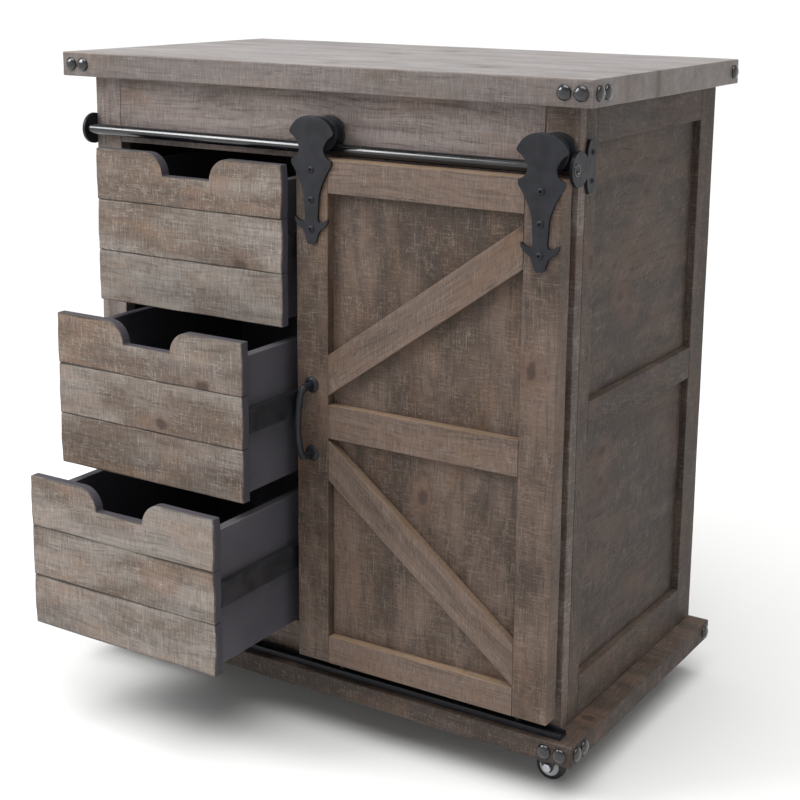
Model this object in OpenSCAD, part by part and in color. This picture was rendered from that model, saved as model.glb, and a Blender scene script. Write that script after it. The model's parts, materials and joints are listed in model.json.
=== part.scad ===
// Kitchen island cart: a plank cabinet on four casters, with three drawers
// and a braced barn door that hangs on rollers from a round rail.
// X runs to the right, Y to the back and Z up. The floor is Z = 0.

/* [Boards] */
// Width of the worktop and of the base board
board_w = 762; // [640:1:900]
// Depth of the worktop and of the base board
board_d = 432; // [380:1:520]
// Thickness of the worktop
worktop_t = 31; // [20:0.5:45]
// Thickness of the base board
base_t = 26; // [18:0.5:40]
// How far the boards stand out past each side of the cabinet
side_overhang = 29; // [15:1:50]
// How far the boards stand out in front of the cabinet
front_overhang = 30; // [26:1:50]
// Eased edge of the planks
ease = 1.2; // [0.4:0.1:2]

/* [Cabinet] */
// Height of the cabinet between the two boards
body_h = 739; // [640:1:820]
// Thickness of the face frame
face_t = 18; // [15:0.5:24]
// Width of the face frame's upright planks
face_stile_w = 42; // [34:1:60]
// Height of the header above the openings
header_h = 85; // [80:1:120]
// Height of the face frame's bottom rail
bottom_rail_h = 48.5; // [35:0.5:70]
// Distance from the cabinet's middle to the left edge of the mullion
mullion_offset = 8.5; // [4:0.5:14]
// Thickness of the side frames
side_t = 18; // [16:0.5:24]
// Width of the side frames' front planks, behind the face frame
side_front_w = 28; // [22:1:45]
// Width of the side frames' rear planks
side_rear_w = 47; // [30:1:65]
// Height of the side frames' top rails
side_top_h = 45; // [30:1:70]
// Height of the side frames' middle rails
side_mid_h = 42; // [30:1:60]
// Height of the side frames' bottom rails
side_bottom_h = 54; // [30:1:80]
// Depth of the sunk panels below the side frames
side_recess = 9; // [4:0.5:10]
// Thickness of the thin panels
panel_t = 6; // [4:0.5:8]
// Thickness of the partition, cupboard floor and shelf
inner_t = 12; // [9:0.5:16]

/* [Drawers] */
// Gap around and between the drawer fronts
front_gap = 2.2; // [1.5:0.1:4]
// Thickness of a drawer front
front_t = 14; // [12:0.5:20]
// Depth of the hewn waves in a drawer front's ends
hew = 1.6; // [0.4:0.1:2]
// Width of the hand notch at the top
notch_w = 127; // [90:1:160]
// Width of the hand notch at its floor
notch_floor_w = 75; // [50:1:85]
// Depth of the hand notch
notch_h = 28; // [20:0.5:32]
// Depth of the grooves between the planks of a front
groove_d = 2.5; // [1:0.1:4]
// Thickness of the box sides and back
box_wall = 12; // [9:0.5:15]
// Length of the box behind its front
box_l = 350; // [280:1:365]
// How far the box ends above the bottom edge of its front
box_lift = 6; // [4:0.5:12]
// How far the box ends below the top edge of its front
box_drop = 21; // [12:0.5:34]
// Space for a slide on each side of the box
slide_space = 12.7; // [12:0.1:16]
// Height of a slide
slide_h = 36; // [28:1:44]
// How far the top drawer stands open
top_open = 53; // [0:1:60]
// How far the middle drawer stands open
middle_open = 134; // [0:1:200]
// How far the bottom drawer stands open
bottom_open = 192; // [70:1:220]

/* [Door] */
// Width of the door
door_w = 352; // [300:1:352]
// Thickness of the door
door_t = 24; // [20:0.5:28]
// Gap between the door's back and the face frame
door_gap = 15; // [12:0.5:18]
// Height of the door's bottom edge above the base board
door_clear = 24; // [20:0.5:30]
// Gap between the door's top edge and the underside of the rail
door_under_rail = 2; // [2:0.1:5]
// Width of the door's upright planks
door_stile_w = 45.5; // [40:0.5:60]
// Height of the door's top rail
door_top_h = 40; // [30:0.5:60]
// Height of the door's middle rail
door_mid_h = 43; // [30:0.5:60]
// Height of the door's bottom rail
door_bottom_h = 36; // [30:0.5:60]
// Depth of the door's panels below its frame
door_recess = 12; // [8:0.5:14]
// Width of the braces, measured upright
brace_h = 51; // [35:0.5:60]

/* [Rail and hangers] */
// Diameter of the rail
bar_d = 14; // [12:0.5:16]
// Height of the rail's axis below the worktop
bar_drop = 69; // [66:0.5:75]
// Distance from the face frame to the rail's axis
bar_standoff = 12.5; // [12:0.1:14]
// Radius of a roller's flanges
roller_r = 22; // [20:0.5:23]
// Radius of a roller at the bottom of its groove
groove_r = 10; // [8:0.5:11]
// Width of a roller
roller_w = 19; // [18:0.5:20]
// Radius of the axles of the rollers
roller_axle_r = 4; // [3:0.1:5]
// Thickness of the hanger straps
strap_t = 3; // [2:0.1:4]
// Distance from the door's upright edges to the middle of the straps
strap_inset = 24; // [22:0.5:26]
// Thickness of the rail's end plates
plate_t = 4; // [3:0.1:5]
// Width of the floor guide
guide_w = 16; // [15:0.5:18]
// Height of the floor guide
guide_h = 8; // [7:0.5:12]

/* [Casters] */
// Height of a caster from the floor to the base board
caster_h = 52; // [50:0.5:60]
// Radius of a caster's tyre
wheel_r = 19; // [17:0.1:20]
// Width of a caster's tyre
wheel_w = 16; // [13:0.5:17]
// Distance from the swivel's axis to the axle
trail = 22; // [18:0.5:23]
// Distance from the cart's middle to the swivels, across
caster_x = 308; // [250:1:330]
// Distance from the boards' middle to the swivels, front to back
caster_y = 160; // [120:1:180]

/* [Studs] */
// Diameter of the domed corner studs
stud_d = 17.5; // [12:0.5:20]
// Height of the domes
stud_h = 5; // [3:0.1:7]
// Distance from a corner to the first stud
stud_inset = 15; // [12:0.5:20]
// Distance between two studs
stud_pitch = 20; // [19:0.5:26]

/* [Hidden] */
$fn = 64;
eps = 0.01;

// Colours
grey_wood = "#8c8078";
brown_wood = "#76685c";
inner_wood = "#8a7868";
box_paint = "#3a383c";
black_steel = "#26272a";
black_gloss = "#17171a";
zinc = "#b9bcc0";
hub_grey = "#b4b4b2";
rubber = "#1b1b1c";

// Heights
base_z = caster_h;
body_z = base_z + base_t;
top_z = body_z + body_h;
header_z = top_z - header_h;
sill_z = body_z + bottom_rail_h;
bar_z = top_z - bar_drop;

// Plan. The middle of the footprint, open drawers included, is the origin.
body_w = board_w - 2 * side_overhang;
body_d = board_d - front_overhang;
face_y = (bottom_open - body_d) / 2;
back_y = face_y + body_d;
board_y = face_y - front_overhang;
half_w = body_w / 2;
inner_x = half_w - side_t;
open_left = face_stile_w - half_w;
open_right = -mullion_offset;
mullion_x = open_right;
partition_x = mullion_x + (face_stile_w - inner_t) / 2;
back_in = 2;
back_panel_y = back_y - back_in - panel_t;
frame_back_y = face_y + face_t;

// Drawers, counted from the bottom
bay_w = open_right - open_left;
bay_x = (open_right + open_left) / 2;
front_w = bay_w - 2 * front_gap;
front_h = (header_z - sill_z - 4 * front_gap) / 3;
plank_h = front_h / 3;
box_w = bay_w - 2 * slide_space;
box_h = front_h - box_lift - box_drop;
openings = [bottom_open, middle_open, top_open];
function front_z(i) = sill_z + front_gap + i * (front_h + front_gap);
function slide_z(i) = front_z(i) + front_h / 2;
slide_play = 1.5;
slide_wall = 1.5;
channel_d = slide_space - slide_play;
runner_front_y = frame_back_y;
runner_back_gap = 20;
runner_l = back_panel_y - runner_back_gap - runner_front_y;

// Door
door_x = half_w - door_w;
door_back_y = face_y - door_gap;
door_front_y = door_back_y - door_t;
door_z = body_z + door_clear;
door_h = bar_z - bar_d / 2 - door_under_rail - door_z;
door_inner_w = door_w - 2 * door_stile_w;
door_mid_z = door_z + door_bottom_h
    + (door_h - door_top_h - door_bottom_h - door_mid_h) / 2;
upper_gap = 11;
lower_gap = 2;

// Rail, rollers and straps
bar_y = face_y - bar_standoff;
bar_over = 1;
groove_clear = 0.3;
roller_z = bar_z + bar_d / 2 + groove_clear + groove_r;
run_clear = 0.05;
strap_xs = [door_x + strap_inset, half_w - strap_inset];
// The strap's outline, from the axle's height down: half widths and heights
head_rise = 24;
head_half = 31;
head_tip_drop = 19;
neck_half = 16.5;
neck_z = -14;
shoulder_half = 28;
shoulder_z = -33;
shank_half = 8.5;
shank_z = -96;
hook_half = 15;
hook_z = -102;
foot_half = 23.5;
foot_z = -97;
cheek_half = 13;
cheek_z = -110.5;
toe_half = 6.5;
toe_z = -128;
strap_screws = [-39, -75, -110];
screw_r = 4.5;
screw_shank_r = 1.8;
screw_l = 12;

// Casters: front left, front right, rear left, rear right
board_mid_y = board_y + board_d / 2;
caster_at = [
    [-caster_x, board_mid_y - caster_y],
    [caster_x, board_mid_y - caster_y],
    [-caster_x, board_mid_y + caster_y],
    [caster_x, board_mid_y + caster_y],
];
plate_size = 42;
caster_plate_t = 2.5;
plate_hole = 15;
race_t = 2;
race_gap = 0.3;
crown_t = 2.5;
crown_r = 15;
crown_z = caster_h - caster_plate_t - race_t - race_gap - crown_t;
kingpin_r = 4;
leg_t = 2;
leg_gap = 1.6;
leg_y = wheel_w / 2 + leg_gap;
axle_r = 3;
axle_head_r = 5.5;
hub_r = 13;
brake_x = trail + 11;
brake_z = wheel_r + 21;
brake_pin_r = 2;
brake_l = 24;

// ---- Shapes used by several pieces ----

// A rectangle with its corners cut at 45 degrees
module cut_rect(w, h, c)
    polygon([[c, 0], [w - c, 0], [w, c], [w, h - c], [w - c, h], [c, h], [0, h - c], [0, c]]);

// A plank with every edge eased
module plank(size, c = ease)
    intersection() {
        linear_extrude(size.z) cut_rect(size.x, size.y, c);
        translate([0, size.y, 0]) rotate([90, 0, 0]) linear_extrude(size.y) cut_rect(size.x, size.z, c);
        rotate([90, 0, 90]) linear_extrude(size.x) cut_rect(size.y, size.z, c);
    }

// An outline drawn in X and Z, given a thickness from y to y + t
module upright(y, t)
    translate([0, y + t, 0]) rotate([90, 0, 0]) linear_extrude(t) children();

// The same piece on the left and on the right
module both_sides() {
    children();
    mirror([1, 0, 0]) children();
}

// Points on an arc round c, from angle a to angle b
function arc(c, r, a, b, n = 12) =
    [for (i = [0:n]) c + r * [cos(a + (b - a) * i / n), sin(a + (b - a) * i / n)]];

// Points on a curve from p to q that is drawn towards m
function bend(p, m, q, n = 8) =
    [for (i = [0:n]) let (t = i / n) (1 - t) * (1 - t) * p + 2 * t * (1 - t) * m + t * t * q];

// ---- Boards and cabinet ----

module worktop() color(grey_wood)
    translate([-board_w / 2, board_y, top_z]) plank([board_w, board_d, worktop_t], 2 * ease);

module base_board() color(grey_wood)
    translate([-board_w / 2, board_y, base_z]) plank([board_w, board_d, base_t], 2 * ease);

module face_stiles() color(brown_wood) both_sides()
    translate([-half_w, face_y, body_z]) plank([face_stile_w, face_t, body_h]);

module face_mullion() color(brown_wood)
    translate([mullion_x, face_y, sill_z]) plank([face_stile_w, face_t, header_z - sill_z]);

module face_header() color(grey_wood)
    translate([open_left, face_y, header_z]) plank([-2 * open_left, face_t, header_h]);

module face_bottom_rail() color(brown_wood)
    translate([open_left, face_y, body_z]) plank([-2 * open_left, face_t, bottom_rail_h]);

side_rail_y = frame_back_y + side_front_w;
side_rail_l = back_y - side_rear_w - side_rail_y;
side_low_z = body_z + side_bottom_h;
side_high_z = top_z - side_top_h;
side_mid_z = (side_low_z + side_high_z - side_mid_h) / 2;

module side_stiles() color(brown_wood) difference() {
    both_sides() {
        translate([-half_w, frame_back_y, body_z]) plank([side_t, side_front_w, body_h]);
        translate([-half_w, back_y - side_rear_w, body_z]) plank([side_t, side_rear_w, body_h]);
    }
    shelf_pin_rods();
}

module side_rails() color(brown_wood) both_sides()
    for (rail = [[body_z, side_bottom_h], [side_mid_z, side_mid_h], [side_high_z, side_top_h]])
        translate([-half_w, side_rail_y, rail[0]]) plank([side_t, side_rail_l, rail[1]]);

module side_panels() color(brown_wood) both_sides()
    for (span = [[side_low_z, side_mid_z], [side_mid_z + side_mid_h, side_high_z]])
        translate([-half_w + side_recess, side_rail_y, span[0]])
            cube([panel_t, side_rail_l, span[1] - span[0]]);

module back_panel() color(inner_wood)
    translate([-inner_x, back_panel_y, body_z]) cube([2 * inner_x, panel_t, body_h]);

module partition() color(inner_wood) difference() {
    translate([partition_x, frame_back_y, body_z])
        cube([inner_t, back_panel_y - frame_back_y, body_h]);
    shelf_pin_rods();
}

cup_inner_x = partition_x + inner_t;

module cupboard_floor() color(inner_wood)
    translate([cup_inner_x, frame_back_y, sill_z - inner_t])
        cube([inner_x - cup_inner_x, back_panel_y - frame_back_y, inner_t]);

shelf_play = 2;
shelf_z = (sill_z + header_z) / 2;
pin_r = 3;
pin_out = 10;
pin_in = 8;
pin_ys = [frame_back_y + side_front_w / 2, back_y - side_rear_w / 2];

module shelf() color(inner_wood)
    translate([cup_inner_x + shelf_play, frame_back_y + shelf_play, shelf_z])
        cube([inner_x - cup_inner_x - 2 * shelf_play, back_panel_y - frame_back_y - 2 * shelf_play, inner_t]);

// The rods that hold the shelf, half in the wood and half under the shelf
module shelf_pin_rods()
    for (y = pin_ys) {
        translate([cup_inner_x - pin_in, y, shelf_z - pin_r])
            rotate([0, 90, 0]) cylinder(r = pin_r, h = pin_in + pin_out);
        translate([inner_x - pin_out, y, shelf_z - pin_r])
            rotate([0, 90, 0]) cylinder(r = pin_r, h = pin_in + pin_out);
    }

module shelf_pins() color(zinc) shelf_pin_rods();

// Wooden blocks that bring the slides level with the sides of the opening
block_h = slide_h + 8;

module runner_blocks() color(inner_wood)
    for (i = [0:2]) {
        translate([-inner_x, runner_front_y, slide_z(i) - block_h / 2])
            cube([open_left + inner_x, runner_l, block_h]);
        translate([open_right, runner_front_y, slide_z(i) - block_h / 2])
            cube([partition_x - open_right, runner_l, block_h]);
    }

// A channel lies on its side, its mouth towards the drawer
module channel(i)
    translate([open_left, runner_front_y, slide_z(i) - slide_h / 2]) difference() {
        cube([channel_d, runner_l, slide_h]);
        translate([slide_wall, -eps, slide_wall])
            cube([channel_d, runner_l + 2 * eps, slide_h - 2 * slide_wall]);
    }

module slide_channels() color(black_steel)
    for (i = [0:2]) {
        channel(i);
        translate([2 * bay_x, 0, 0]) mirror([1, 0, 0]) channel(i);
    }

// ---- Rail, end plates and floor guide ----

module rail_bar() color(black_gloss)
    translate([-half_w - plate_t - bar_over, bar_y, bar_z])
        rotate([0, 90, 0]) cylinder(d = bar_d, h = body_w + 2 * (plate_t + bar_over));

// The plate's outline in Y and Z, with the face frame at 0 and the rail's height at 0
lobe_r = 20;
lobe_y = -4;
leaf_y = 35;
leaf_half = 30;
leaf_tip_y = 20;
plate_neck_y = 11;
plate_neck_half = 9;
plate_screw_y = 27;
plate_screw_z = 16;

module plate_outline() {
    translate([lobe_y, 0]) circle(r = lobe_r);
    polygon(concat(
        bend([0, 17], [plate_neck_y - 1, plate_neck_half], [plate_neck_y + 2, plate_neck_half + 4]),
        bend([plate_neck_y + 3, plate_neck_half + 6], [leaf_tip_y - 6, leaf_half - 8], [leaf_tip_y, leaf_half]),
        bend([leaf_tip_y + 4, leaf_half], [leaf_y, leaf_half], [leaf_y, leaf_half - 10]),
        bend([leaf_y, 10 - leaf_half], [leaf_y, -leaf_half], [leaf_tip_y + 4, -leaf_half]),
        bend([leaf_tip_y, -leaf_half], [leaf_tip_y - 6, 8 - leaf_half], [plate_neck_y + 3, -plate_neck_half - 6]),
        bend([plate_neck_y + 2, -plate_neck_half - 4], [plate_neck_y - 1, -plate_neck_half], [0, -17])
    ));
}

module rail_plates() color(black_steel) both_sides()
    difference() {
        translate([half_w, face_y, bar_z]) rotate([90, 0, 90]) linear_extrude(plate_t) plate_outline();
        translate([half_w - eps, bar_y, bar_z]) rotate([0, 90, 0]) cylinder(d = bar_d, h = plate_t + 2 * eps);
    }

// A domed screw head that faces +Z
module screw_head(r, h)
    intersection() {
        translate([0, 0, h - (r * r + h * h) / (2 * h)]) sphere(r = (r * r + h * h) / (2 * h));
        cylinder(r = r, h = h);
    }

module plate_screws() color(black_steel) both_sides()
    for (z = [-plate_screw_z, plate_screw_z])
        translate([half_w + plate_t, face_y + plate_screw_y, bar_z + z])
            rotate([0, 90, 0]) screw_head(3.5, 1.8);

// The door's guide pins run in this channel
guide_wall = 2;
guide_y = bar_y;
guide_end = 10;

module floor_guide() color(black_steel)
    difference() {
        translate([-half_w - guide_end, guide_y - guide_w / 2, body_z])
            cube([body_w + 2 * guide_end, guide_w, guide_h]);
        translate([-half_w - guide_end - eps, guide_y - guide_w / 2 + guide_wall, body_z + guide_wall])
            cube([body_w + 2 * guide_end + 2 * eps, guide_w - 2 * guide_wall, guide_h]);
    }

// ---- Corner studs ----

module stud() screw_head(stud_d / 2, stud_h);

// The studs of one board whose middle is at height z
module board_studs(z) both_sides() {
    for (s = [0, 1]) {
        translate([board_w / 2 - stud_inset - s * stud_pitch, board_y, z])
            rotate([90, 0, 0]) stud();
        translate([board_w / 2, board_y + stud_inset + s * stud_pitch, z])
            rotate([0, 90, 0]) stud();
    }
    translate([board_w / 2, back_y - stud_inset, z]) rotate([0, 90, 0]) stud();
}

module corner_studs() color(black_gloss) {
    board_studs(top_z + worktop_t / 2);
    board_studs(base_z + base_t / 2);
}

// ---- Drawers ----

// How far a front's end is hewn back at height z, for end number k: each plank
// is rounded off at its two edges, and two longer waves run over all three
function hewn(z, k) = let (turn = 360 * z / plank_h)
    hew * (0.5 + 0.3 * cos(turn) + 0.12 * sin(0.61 * turn + 70 * k) + 0.08 * sin(1.7 * turn + 131 * k));

hewn_steps = 48;
shoulder_w = (notch_w - notch_floor_w) / 2;

// A front's outline, with its bottom middle at the origin
module front_outline(i)
    difference() {
        polygon(concat(
            [for (s = [0:hewn_steps]) let (z = front_h * s / hewn_steps) [front_w / 2 - hewn(z, 2 * i), z]],
            [for (s = [hewn_steps:-1:0]) let (z = front_h * s / hewn_steps) [hewn(z, 2 * i + 1) - front_w / 2, z]]
        ));
        translate([0, front_h]) notch_outline();
    }

// The hand notch: a flat floor and two shoulders that round over to the top edge
module notch_outline()
    polygon(concat(
        [for (s = [0:12]) let (a = 90 * s / 12)
            [notch_floor_w / 2 + shoulder_w * (1 - cos(a)), notch_h * sin(a) - notch_h]],
        [[notch_w / 2, 1], [-notch_w / 2, 1]],
        [for (s = [12:-1:0]) let (a = 90 * s / 12)
            [-notch_floor_w / 2 - shoulder_w * (1 - cos(a)), notch_h * sin(a) - notch_h]]
    ));

module drawer_front(i) color(grey_wood)
    translate([bay_x, face_y - openings[i], front_z(i)]) difference() {
        upright(0, front_t) front_outline(i);
        for (k = [1, 2])
            translate([-front_w / 2, 0, k * plank_h])
                rotate([90, 0, 90]) linear_extrude(front_w)
                    polygon([[-eps, -groove_d], [groove_d, 0], [-eps, groove_d]]);
    }

bottom_t = panel_t;
bottom_lift = 8;

// The box's two sides and its back
module drawer_box(i) color(box_paint)
    translate([bay_x, face_y - openings[i] + front_t, front_z(i) + box_lift]) {
        for (x = [-box_w / 2, box_w / 2 - box_wall])
            translate([x, 0, 0]) cube([box_wall, box_l, box_h]);
        translate([-box_w / 2 + box_wall, box_l - box_wall, 0])
            cube([box_w - 2 * box_wall, box_wall, box_h]);
    }

module drawer_bottom(i) color(box_paint)
    translate([bay_x - box_w / 2 + box_wall, face_y - openings[i] + front_t, front_z(i) + box_lift + bottom_lift])
        cube([box_w - 2 * box_wall, box_l - box_wall, bottom_t]);

tongue_d = slide_space - slide_wall - slide_play;
tongue_h = slide_h - 2 * slide_wall - 2 * slide_play;

module drawer_slides(i) color(black_steel)
    for (x = [-box_w / 2 - tongue_d, box_w / 2])
        translate([bay_x + x, face_y - openings[i] + front_t, slide_z(i) - tongue_h / 2])
            cube([tongue_d, box_l, tongue_h]);

// ---- Door ----

module door_stiles() color(brown_wood) difference() {
    for (x = [door_x, half_w - door_stile_w])
        translate([x, door_front_y, door_z]) plank([door_stile_w, door_t, door_h]);
    strap_screw_places() cylinder(r = screw_shank_r, h = screw_l);
    pull_posts();
}

module door_rails() color(brown_wood)
    for (rail = [
        [door_z, door_bottom_h],
        [door_mid_z, door_mid_h],
        [door_z + door_h - door_top_h, door_top_h],
    ])
        translate([door_x + door_stile_w, door_front_y, rail[0]]) plank([door_inner_w, door_t, rail[1]]);

module door_panels() color(brown_wood)
    for (span = [
        [door_z + door_bottom_h, door_mid_z],
        [door_mid_z + door_mid_h, door_z + door_h - door_top_h],
    ])
        translate([door_x + door_stile_w, door_front_y + door_recess, span[0]])
            cube([door_inner_w, panel_t, span[1] - span[0]]);

// A brace runs from height a at the left stile to height b at the right one
module brace(a, b)
    upright(door_front_y, door_recess)
        polygon([
            [door_x + door_stile_w, a],
            [door_x + door_stile_w + door_inner_w, b],
            [door_x + door_stile_w + door_inner_w, b + brace_h],
            [door_x + door_stile_w, a + brace_h],
        ]);

module door_braces() color(brown_wood) {
    brace(door_mid_z + door_mid_h + upper_gap, door_z + door_h - door_top_h - upper_gap - brace_h);
    brace(door_mid_z - lower_gap - brace_h, door_z + door_bottom_h + lower_gap);
}

// One half of the strap's outline, to the right of its middle line
function strap_side() = concat(
    bend([0, head_rise], [head_half * 0.72, head_rise], [head_half, head_rise - head_tip_drop]),
    bend([head_half - 2, head_rise - head_tip_drop - 3], [neck_half + 4, neck_z + 12], [neck_half, neck_z]),
    bend([neck_half + 0.5, neck_z - 3], [neck_half + 2, shoulder_z + 8], [shoulder_half, shoulder_z + 5]),
    bend([shoulder_half, shoulder_z], [shank_half + 5, shoulder_z - 20], [shank_half + 1.5, shoulder_z - 38]),
    bend([shank_half, shank_z], [shank_half, hook_z - 2.5], [hook_half, hook_z]),
    bend([hook_half + 2, hook_z + 0.5], [foot_half - 2.5, foot_z - 3], [foot_half, foot_z]),
    bend([foot_half - 0.5, foot_z - 4], [cheek_half + 6, cheek_z + 3], [cheek_half, cheek_z]),
    bend([cheek_half - 1, cheek_z - 1], [toe_half + 2.5, cheek_z - 3.5], [toe_half, toe_z + 3]),
    [[toe_half - 3, toe_z]]
);

module strap_outline()
    polygon(concat(
        strap_side(),
        [for (i = [len(strap_side()) - 1:-1:1]) [-strap_side()[i].x, strap_side()[i].y]]
    ));

// Each strap carries the axle of its roller
module hanger_straps() color(black_steel)
    for (x = strap_xs) {
        difference() {
            translate([x, 0, roller_z]) upright(door_front_y - strap_t, strap_t) strap_outline();
            strap_screw_places() translate([0, 0, -eps - strap_t]) cylinder(r = screw_shank_r, h = screw_l);
        }
        translate([x, door_front_y, roller_z]) rotate([-90, 0, 0])
            cylinder(r = roller_axle_r + 3, h = bar_y - roller_w / 2 - 0.4 - door_front_y);
        translate([x, door_front_y, roller_z]) rotate([-90, 0, 0])
            cylinder(r = roller_axle_r, h = bar_y + roller_w / 2 - door_front_y);
    }

// Where the strap screws enter the door's front, pointing into the wood
module strap_screw_places()
    for (x = strap_xs)
        for (z = strap_screws)
            translate([x, door_front_y, roller_z + z]) rotate([-90, 0, 0]) children();

module hanger_screws() color(black_steel) {
    strap_screw_places() translate([0, 0, -strap_t]) mirror([0, 0, 1]) screw_head(screw_r, 2.4);
    strap_screw_places() translate([0, 0, -strap_t - eps]) cylinder(r = screw_shank_r, h = screw_l + strap_t);
}

// The roller turns on its axle; its groove rides on the rail
module roller(x) color(black_steel)
    translate([x, bar_y, roller_z]) rotate([90, 0, 0]) rotate_extrude()
        difference() {
            translate([roller_axle_r + run_clear, -roller_w / 2])
                square([roller_r - roller_axle_r - run_clear, roller_w]);
            translate([groove_r + bar_d / 2 + groove_clear, 0]) circle(r = bar_d / 2 + groove_clear);
            translate([groove_r + bar_d / 2 + groove_clear, -bar_d / 2 - groove_clear])
                square([roller_r, bar_d + 2 * groove_clear]);
        }

// The pull: two feet, two posts and a bow that joins them
pull_x = door_x + 22;
pull_z = door_mid_z + door_mid_h / 2;
pull_half = 43.5;
pull_post = 14;
pull_rise = 15;
pull_r = 4.2;
pull_knuckle_r = 5;
pull_foot_r = 10;
pull_foot_t = 3;
pull_peg_r = 2.5;
pull_peg_l = 14;
bow_r = (pull_half * pull_half + pull_rise * pull_rise) / (2 * pull_rise);
bow_angle = asin(pull_half / bow_r);

module pull_posts()
    for (z = [-pull_half, pull_half])
        translate([pull_x, door_front_y, pull_z + z]) rotate([-90, 0, 0]) cylinder(r = pull_peg_r, h = pull_peg_l);

module door_pull() color(black_steel) {
    for (z = [-pull_half, pull_half])
        translate([pull_x, door_front_y, pull_z + z]) {
            rotate([90, 0, 0]) cylinder(r1 = pull_foot_r, r2 = pull_r + 3, h = pull_foot_t);
            rotate([90, 0, 0]) cylinder(r = pull_r, h = pull_post);
            translate([0, -pull_post, 0]) sphere(r = pull_knuckle_r);
        }
    pull_posts();
    translate([pull_x, door_front_y - pull_post - pull_rise + bow_r, pull_z])
        rotate([90, 0, -90]) rotate([0, 0, -bow_angle])
            rotate_extrude(angle = 2 * bow_angle) translate([bow_r, 0]) circle(r = pull_r);
}

// Two pins under the door keep it in the floor guide
pin_foot_t = 3;
pin_foot_w = 30;
pin_foot_grip = 16;
pin_foot_lip = 1;
pin_play = 2;
guide_pin_r = guide_w / 2 - guide_wall - pin_play;
guide_pin_inset = 50;
pin_low_z = body_z + guide_wall + pin_play;

module guide_pins() color(black_steel)
    for (x = [door_x + guide_pin_inset, half_w - guide_pin_inset]) {
        translate([x - pin_foot_w / 2, door_back_y - pin_foot_grip, door_z - pin_foot_t])
            cube([pin_foot_w, guide_y + guide_pin_r + pin_foot_lip - door_back_y + pin_foot_grip, pin_foot_t]);
        translate([x, guide_y, pin_low_z])
            cylinder(r = guide_pin_r, h = door_z - pin_foot_t - pin_low_z + eps);
    }

// ---- Casters ----

// The plate under the board, with the race and the kingpin that the fork turns on
module caster_plate()
    difference() {
        union() {
            translate([-plate_size / 2, -plate_size / 2, caster_h - caster_plate_t])
                cube([plate_size, plate_size, caster_plate_t]);
            translate([0, 0, crown_z + crown_t + race_gap]) cylinder(r = crown_r - 2, h = race_t + eps);
            translate([0, 0, crown_z - race_gap]) cylinder(r = kingpin_r, h = crown_t + 2 * race_gap + 1);
            translate([0, 0, crown_z - race_gap - 2]) cylinder(r = kingpin_r + 3, h = 2);
        }
        caster_screw_places() translate([0, 0, -1]) cylinder(r = screw_shank_r, h = caster_plate_t + 2);
    }

module caster_screw_places()
    for (x = [-plate_hole, plate_hole])
        for (y = [-plate_hole, plate_hole])
            translate([x, y, caster_h - caster_plate_t]) children();

module caster_plates() color(black_steel)
    for (c = caster_at) translate(c) caster_plate();

module caster_screws() color(zinc)
    for (c = caster_at) translate(c) caster_screw_places() {
        cylinder(r = screw_shank_r, h = caster_plate_t);
        mirror([0, 0, 1]) screw_head(3.2, 1.6);
    }

// One cheek of the fork, in X and Z
module fork_leg(has_brake)
    difference() {
        union() {
            polygon([[-crown_r + 3, crown_z + crown_t], [crown_r - 1, crown_z + crown_t],
                [trail + 7, wheel_r], [trail - 7, wheel_r]]);
            translate([trail, wheel_r]) circle(r = 7);
            if (has_brake) {
                polygon([[0, crown_z + crown_t], [crown_r - 1, crown_z + crown_t], [brake_x + 2, brake_z + 4],
                    [brake_x + 3, brake_z - 3], [trail + 7, wheel_r], [trail, wheel_r]]);
                translate([brake_x, brake_z]) circle(r = 4.2);
            }
        }
        translate([trail, wheel_r]) circle(r = axle_r);
        if (has_brake) translate([brake_x, brake_z]) circle(r = brake_pin_r);
    }

// The fork with its axle bolt
module caster_fork(n) color(black_steel)
    translate(caster_at[n]) {
        difference() {
            translate([0, 0, crown_z]) cylinder(r = crown_r, h = crown_t);
            translate([0, 0, crown_z - eps]) cylinder(r = kingpin_r + run_clear, h = crown_t + 2 * eps);
        }
        for (y = [-leg_y - leg_t, leg_y]) upright(y, leg_t) fork_leg(n < 2);
        translate([trail, leg_y + leg_t, wheel_r]) rotate([90, 0, 0])
            cylinder(r = axle_r, h = 2 * (leg_y + leg_t));
        translate([trail, -leg_y - leg_t, wheel_r]) rotate([90, 0, 0])
            cylinder(r = axle_head_r, h = 3.5, $fn = 6);
        translate([trail, leg_y + leg_t, wheel_r]) rotate([-90, 0, 0])
            cylinder(r = axle_head_r, h = 3.5, $fn = 6);
        if (n < 2)
            translate([brake_x, leg_y + leg_t, brake_z]) rotate([90, 0, 0])
                cylinder(r = brake_pin_r, h = 2 * (leg_y + leg_t));
    }

module caster_hub(n) color(hub_grey)
    translate(caster_at[n]) translate([trail, 0, wheel_r]) rotate([90, 0, 0]) rotate_extrude()
        polygon([
            [axle_r + run_clear, -wheel_w / 2 - 0.6], [6, -wheel_w / 2 - 0.6], [7, -wheel_w / 2 + 2],
            [hub_r - 2, -wheel_w / 2 + 2], [hub_r - 1, -wheel_w / 2 + 0.5], [hub_r, -wheel_w / 2 + 0.5],
            [hub_r, wheel_w / 2 - 0.5], [hub_r - 1, wheel_w / 2 - 0.5], [hub_r - 2, wheel_w / 2 - 2],
            [7, wheel_w / 2 - 2], [6, wheel_w / 2 + 0.6], [axle_r + run_clear, wheel_w / 2 + 0.6],
        ]);

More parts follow.
